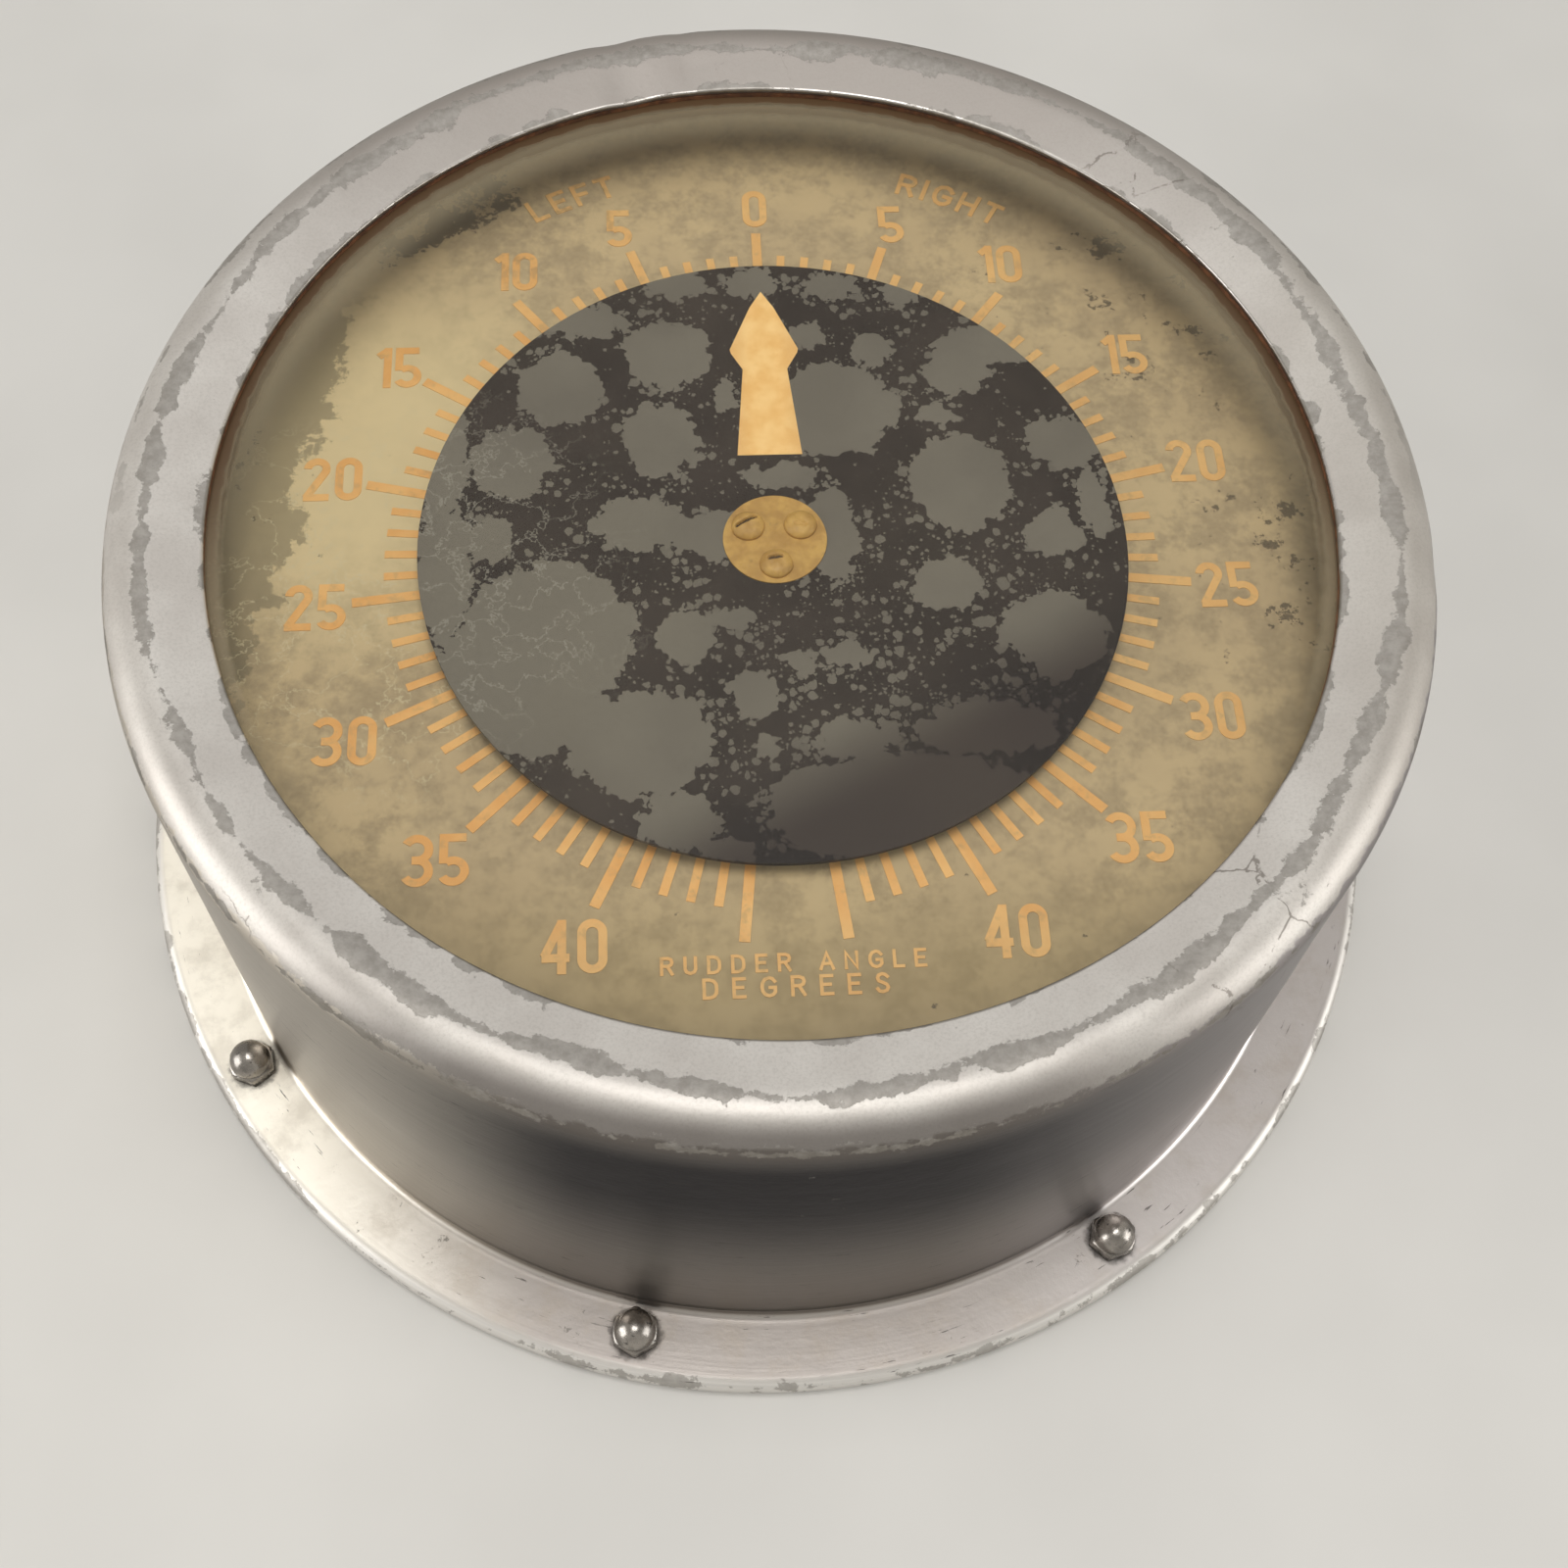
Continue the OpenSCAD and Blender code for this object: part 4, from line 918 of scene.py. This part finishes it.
def glassFinish(g):
    # clear glass that mirrors more towards grazing, dusty and with dirt along its edge
    f = Finish("windowGlass", Roughness=0.5)
    film = f.spread(f.grain(30, 5, 0.6, seed=1), 0.35, 0.75, *g["dust"])
    near, far, share = g["haze"]
    haze = f.times(f.times(f.spread(f.r, near, far), f.spread(f.y, -30, 60)), share)
    near, far, share = g["ring"]
    ring = f.plus(f.r, f.times(f.grain(4, 4, 0.6, seed=2), 2.0))
    ring = f.times(f.spread(ring, near, far), f.spread(f.y, -60, 20))
    film = f.most(f.plus(film, haze), f.times(ring, share))
    f.put("Base Color", f.mix(ring, (196, 180, 146), (92, 68, 42)))
    clear = f.add("ShaderNodeBsdfTransparent", {"Color": (0.995, 0.995, 0.99, 1)})
    shine = f.add("ShaderNodeBsdfAnisotropic", {"Roughness": g["shine"], "Color": (1, 1, 1, 1)})
    facing = f.add("ShaderNodeLayerWeight", {"Blend": 0.5}).outputs["Facing"]
    bounce = f.math("MULTIPLY_ADD", f.math("POWER", facing, 5.0), *g["bounce"])
    clean = f.add("ShaderNodeMixShader", {0: bounce, 1: clear.outputs[0], 2: shine.outputs[0]})
    f.cover(film, clean, f.shader)
    return f


dress(glassFinish(glass), "glass")


def plainFinish(name, dark, light, rough, metallic=0.0, size=6.0, relief=0.03, dirt=None):
    # a two-tone finish with its own wear, for fittings
    f = Finish(name, Metallic=metallic)
    tone = f.mix(f.spread(f.grain(size, 7, 0.65, seed=1), 0.35, 0.65), dark, light)
    if dirt:
        share = f.spread(f.grain(size * 0.4, 5, 0.7, seed=2), 0.58, 0.70)
        tone = f.coat(tone, dirt, share, 0.6)
    f.put("Base Color", tone)
    patchy = f.grain(size * 0.7, 5, 0.6, seed=3)
    f.put("Roughness", f.spread(patchy, 0.3, 0.7, rough - 0.07, rough + 0.09))
    f.put("Normal", f.relief(f.grain(size * 0.15, 4, 0.6, seed=4), relief))
    return f


fittings = (  # finish, then the nodes that wear it
    (plainFinish("brownRubber", (70, 42, 24), (112, 70, 40), 0.6, size=3, dirt=(40, 26, 16)),
     ["glass_gasket"]),
    (plainFinish("blackRubber", (24, 23, 22), (40, 38, 36), 0.72, size=4, dirt=(64, 60, 54)),
     ["base_gasket", "cable_grommet"]),
    (plainFinish("copperPlate", (150, 96, 62), (184, 122, 80), 0.4, 0.9, dirt=(86, 52, 34)),
     ["glass_retaining_ring"]),
    (plainFinish("greyPaint", (112, 112, 110), (138, 138, 134), 0.5, size=14, dirt=(84, 78, 70)),
     ["back_plate", "retaining_brackets"]),
    (plainFinish("screwSteel", (120, 118, 114), (160, 158, 152), 0.35, 0.95, size=2,
                 dirt=(84, 66, 50)),
     ["flange_studs", "back_plate_screws", "retaining_screws", "dial_screws", "deck_screws",
      "clamp_screws", "collar_set_screw"]),
    (plainFinish("castAlloy", (150, 150, 148), (186, 186, 182), 0.45, 0.8, size=5),
     ["dial_posts", "deck_posts", "receiver_clamps", "front_end_bell", "rear_end_bell",
      "stator_housing"]),
    (plainFinish("reflectorWhite", (206, 202, 188), (228, 225, 214), 0.55, size=20,
                 dirt=(170, 156, 128)),
     ["lamp_deck"]),
    (plainFinish("turnedBrass", (166, 130, 66), (198, 162, 92), 0.32, 0.95, size=3,
                 dirt=(104, 78, 40)),
     ["lamp_sockets", "terminal_screws", "shaft_collar", "inertia_damper", "slip_rings"]),
    (plainFinish("laminateIron", (62, 62, 64), (92, 92, 94), 0.4, 0.85, size=1.2),
     ["stator_core", "rotor_core"]),
    (plainFinish("varnishedWire", (120, 58, 26), (168, 92, 46), 0.35, 0.4, size=0.9, relief=0.12),
     ["stator_windings", "rotor_winding"]),
    (plainFinish("groundSteel", (158, 160, 164), (196, 198, 202), 0.16, 1.0, size=3),
     ["bearing_outer_races", "bearing_inner_races", "bearing_balls", "rotor_shaft"]),
    (plainFinish("brownPhenolic", (58, 32, 18), (88, 50, 28), 0.38, size=7),
     ["brush_block", "terminal_block", "slip_ring_sleeve"]),
    (plainFinish("brushCarbon", (28, 28, 30), (48, 48, 50), 0.5, size=1), ["brushes"]),
    (plainFinish("redSleeve", (110, 28, 22), (148, 44, 34), 0.7, size=0.8, relief=0.08),
     ["receiver_leads"]),
    (plainFinish("greenSleeve", (58, 70, 36), (84, 96, 52), 0.7, size=0.8, relief=0.08),
     ["lamp_leads"]),
)
for finish, names in fittings:
    dress(finish, *names)

bulbGlass = Finish("bulbGlass", Roughness=0.08, Transmission_Weight=0.85, IOR=1.45)
bulbGlass.put("Base Color", bulbGlass.mix(bulbGlass.spread(bulbGlass.grain(5), 0.3, 0.7),
                                          (236, 228, 206), (248, 244, 230)))
dress(bulbGlass, "lamps")
print("glass and fittings finished")


# floor, lamps and surroundings, in metres

stage = {
    "floor": ((206, 203, 197), (211, 208, 202)), "size": 12.0, "drop": 0.0004,
    "surround": (204, 201, 195),    # seen behind everything
    "fade": (500, 1700),            # millimetres from the axis where the floor turns into it
    "sky": ((0.0, (0.22, 0.22, 0.22, 1)), (0.75, (0.72, 0.72, 0.71, 1))), "skyStrength": 0.62,
    "aim": (0, 0, 0.08),
    "lamps": {  # place, size and watts of each soft box
        "overhead": ((0.0, -0.06, 1.6), 0.7, 11.5),
        "left": ((-1.29, -0.32, 0.44), 0.9, 10.8),
        "right": ((1.29, -0.42, 0.44), 0.9, 8.0)},
}


def seenDirectly(tree):
    # 1 for what the camera, a mirror or glass sees, 0 for the light that falls on things
    rays = addNode(tree, "ShaderNodeLightPath").outputs
    seen = rays["Is Camera Ray"]
    for kind in ("Is Glossy Ray", "Is Transmission Ray"):
        either = addNode(tree, "ShaderNodeMath", {0: seen, 1: rays[kind]}, operation="MAXIMUM")
        seen = either.outputs[0]
    return seen


def floorFinish(s):
    f = Finish("floorCard", Roughness=0.9, Specular_IOR_Level=0.1)
    f.put("Base Color", f.mix(f.spread(f.grain(90, 3, 0.5), 0.3, 0.7), *s["floor"]))
    away = f.times(f.spread(f.r, *s["fade"]), seenDirectly(f.tree))
    f.cover(away, f.shader, f.add("ShaderNodeEmission", {"Color": paintShade(*s["surround"])}))
    return f


half, drop = stage["size"] / 2, stage["drop"]
floorMesh = bpy.data.meshes.new("floorCard")
floorMesh.from_pydata([(-half, -half, -drop), (half, -half, -drop), (half, half, -drop),
                       (-half, half, -drop)], [], [(0, 1, 2, 3)])
floorMesh.materials.append(floorFinish(stage).material)
floor = bpy.data.objects.new("floorCard", floorMesh)
scene.collection.objects.link(floor)

for name, (place, size, watts) in stage["lamps"].items():
    light = bpy.data.lights.new(name + "Lamp", "AREA")
    light.shape = "SQUARE"
    light.size, light.energy = size, watts
    lamp = bpy.data.objects.new(name + "Lamp", light)
    lamp.location = place
    aim = Vector(stage["aim"]) - Vector(place)
    lamp.rotation_euler = aim.to_track_quat("-Z", "Y").to_euler()
    scene.collection.objects.link(lamp)

sky = bpy.data.worlds.new("studioSky")
scene.world = sky
sky.use_nodes = True
tree = sky.node_tree
place = addNode(tree, "ShaderNodeTexCoord").outputs["Generated"]
height = addNode(tree, "ShaderNodeSeparateXYZ", {0: place}).outputs["Z"]
ramp = addNode(tree, "ShaderNodeValToRGB", {0: height})
for end, (position, tone) in zip(ramp.color_ramp.elements, stage["sky"]):
    end.position, end.color = position, tone
air = tree.nodes["Background"]
feed(tree, air, "Color", ramp.outputs[0])
feed(tree, air, "Strength", stage["skyStrength"])
surround = addNode(tree, "ShaderNodeBackground", {"Color": paintShade(*stage["surround"])})
both = addNode(tree, "ShaderNodeMixShader", {
    0: seenDirectly(tree), 1: air.outputs[0], 2: surround.outputs[0]})
feed(tree, tree.nodes["World Output"], "Surface", both.outputs[0])

scene.view_settings.view_transform = "Standard"
print("stage set")
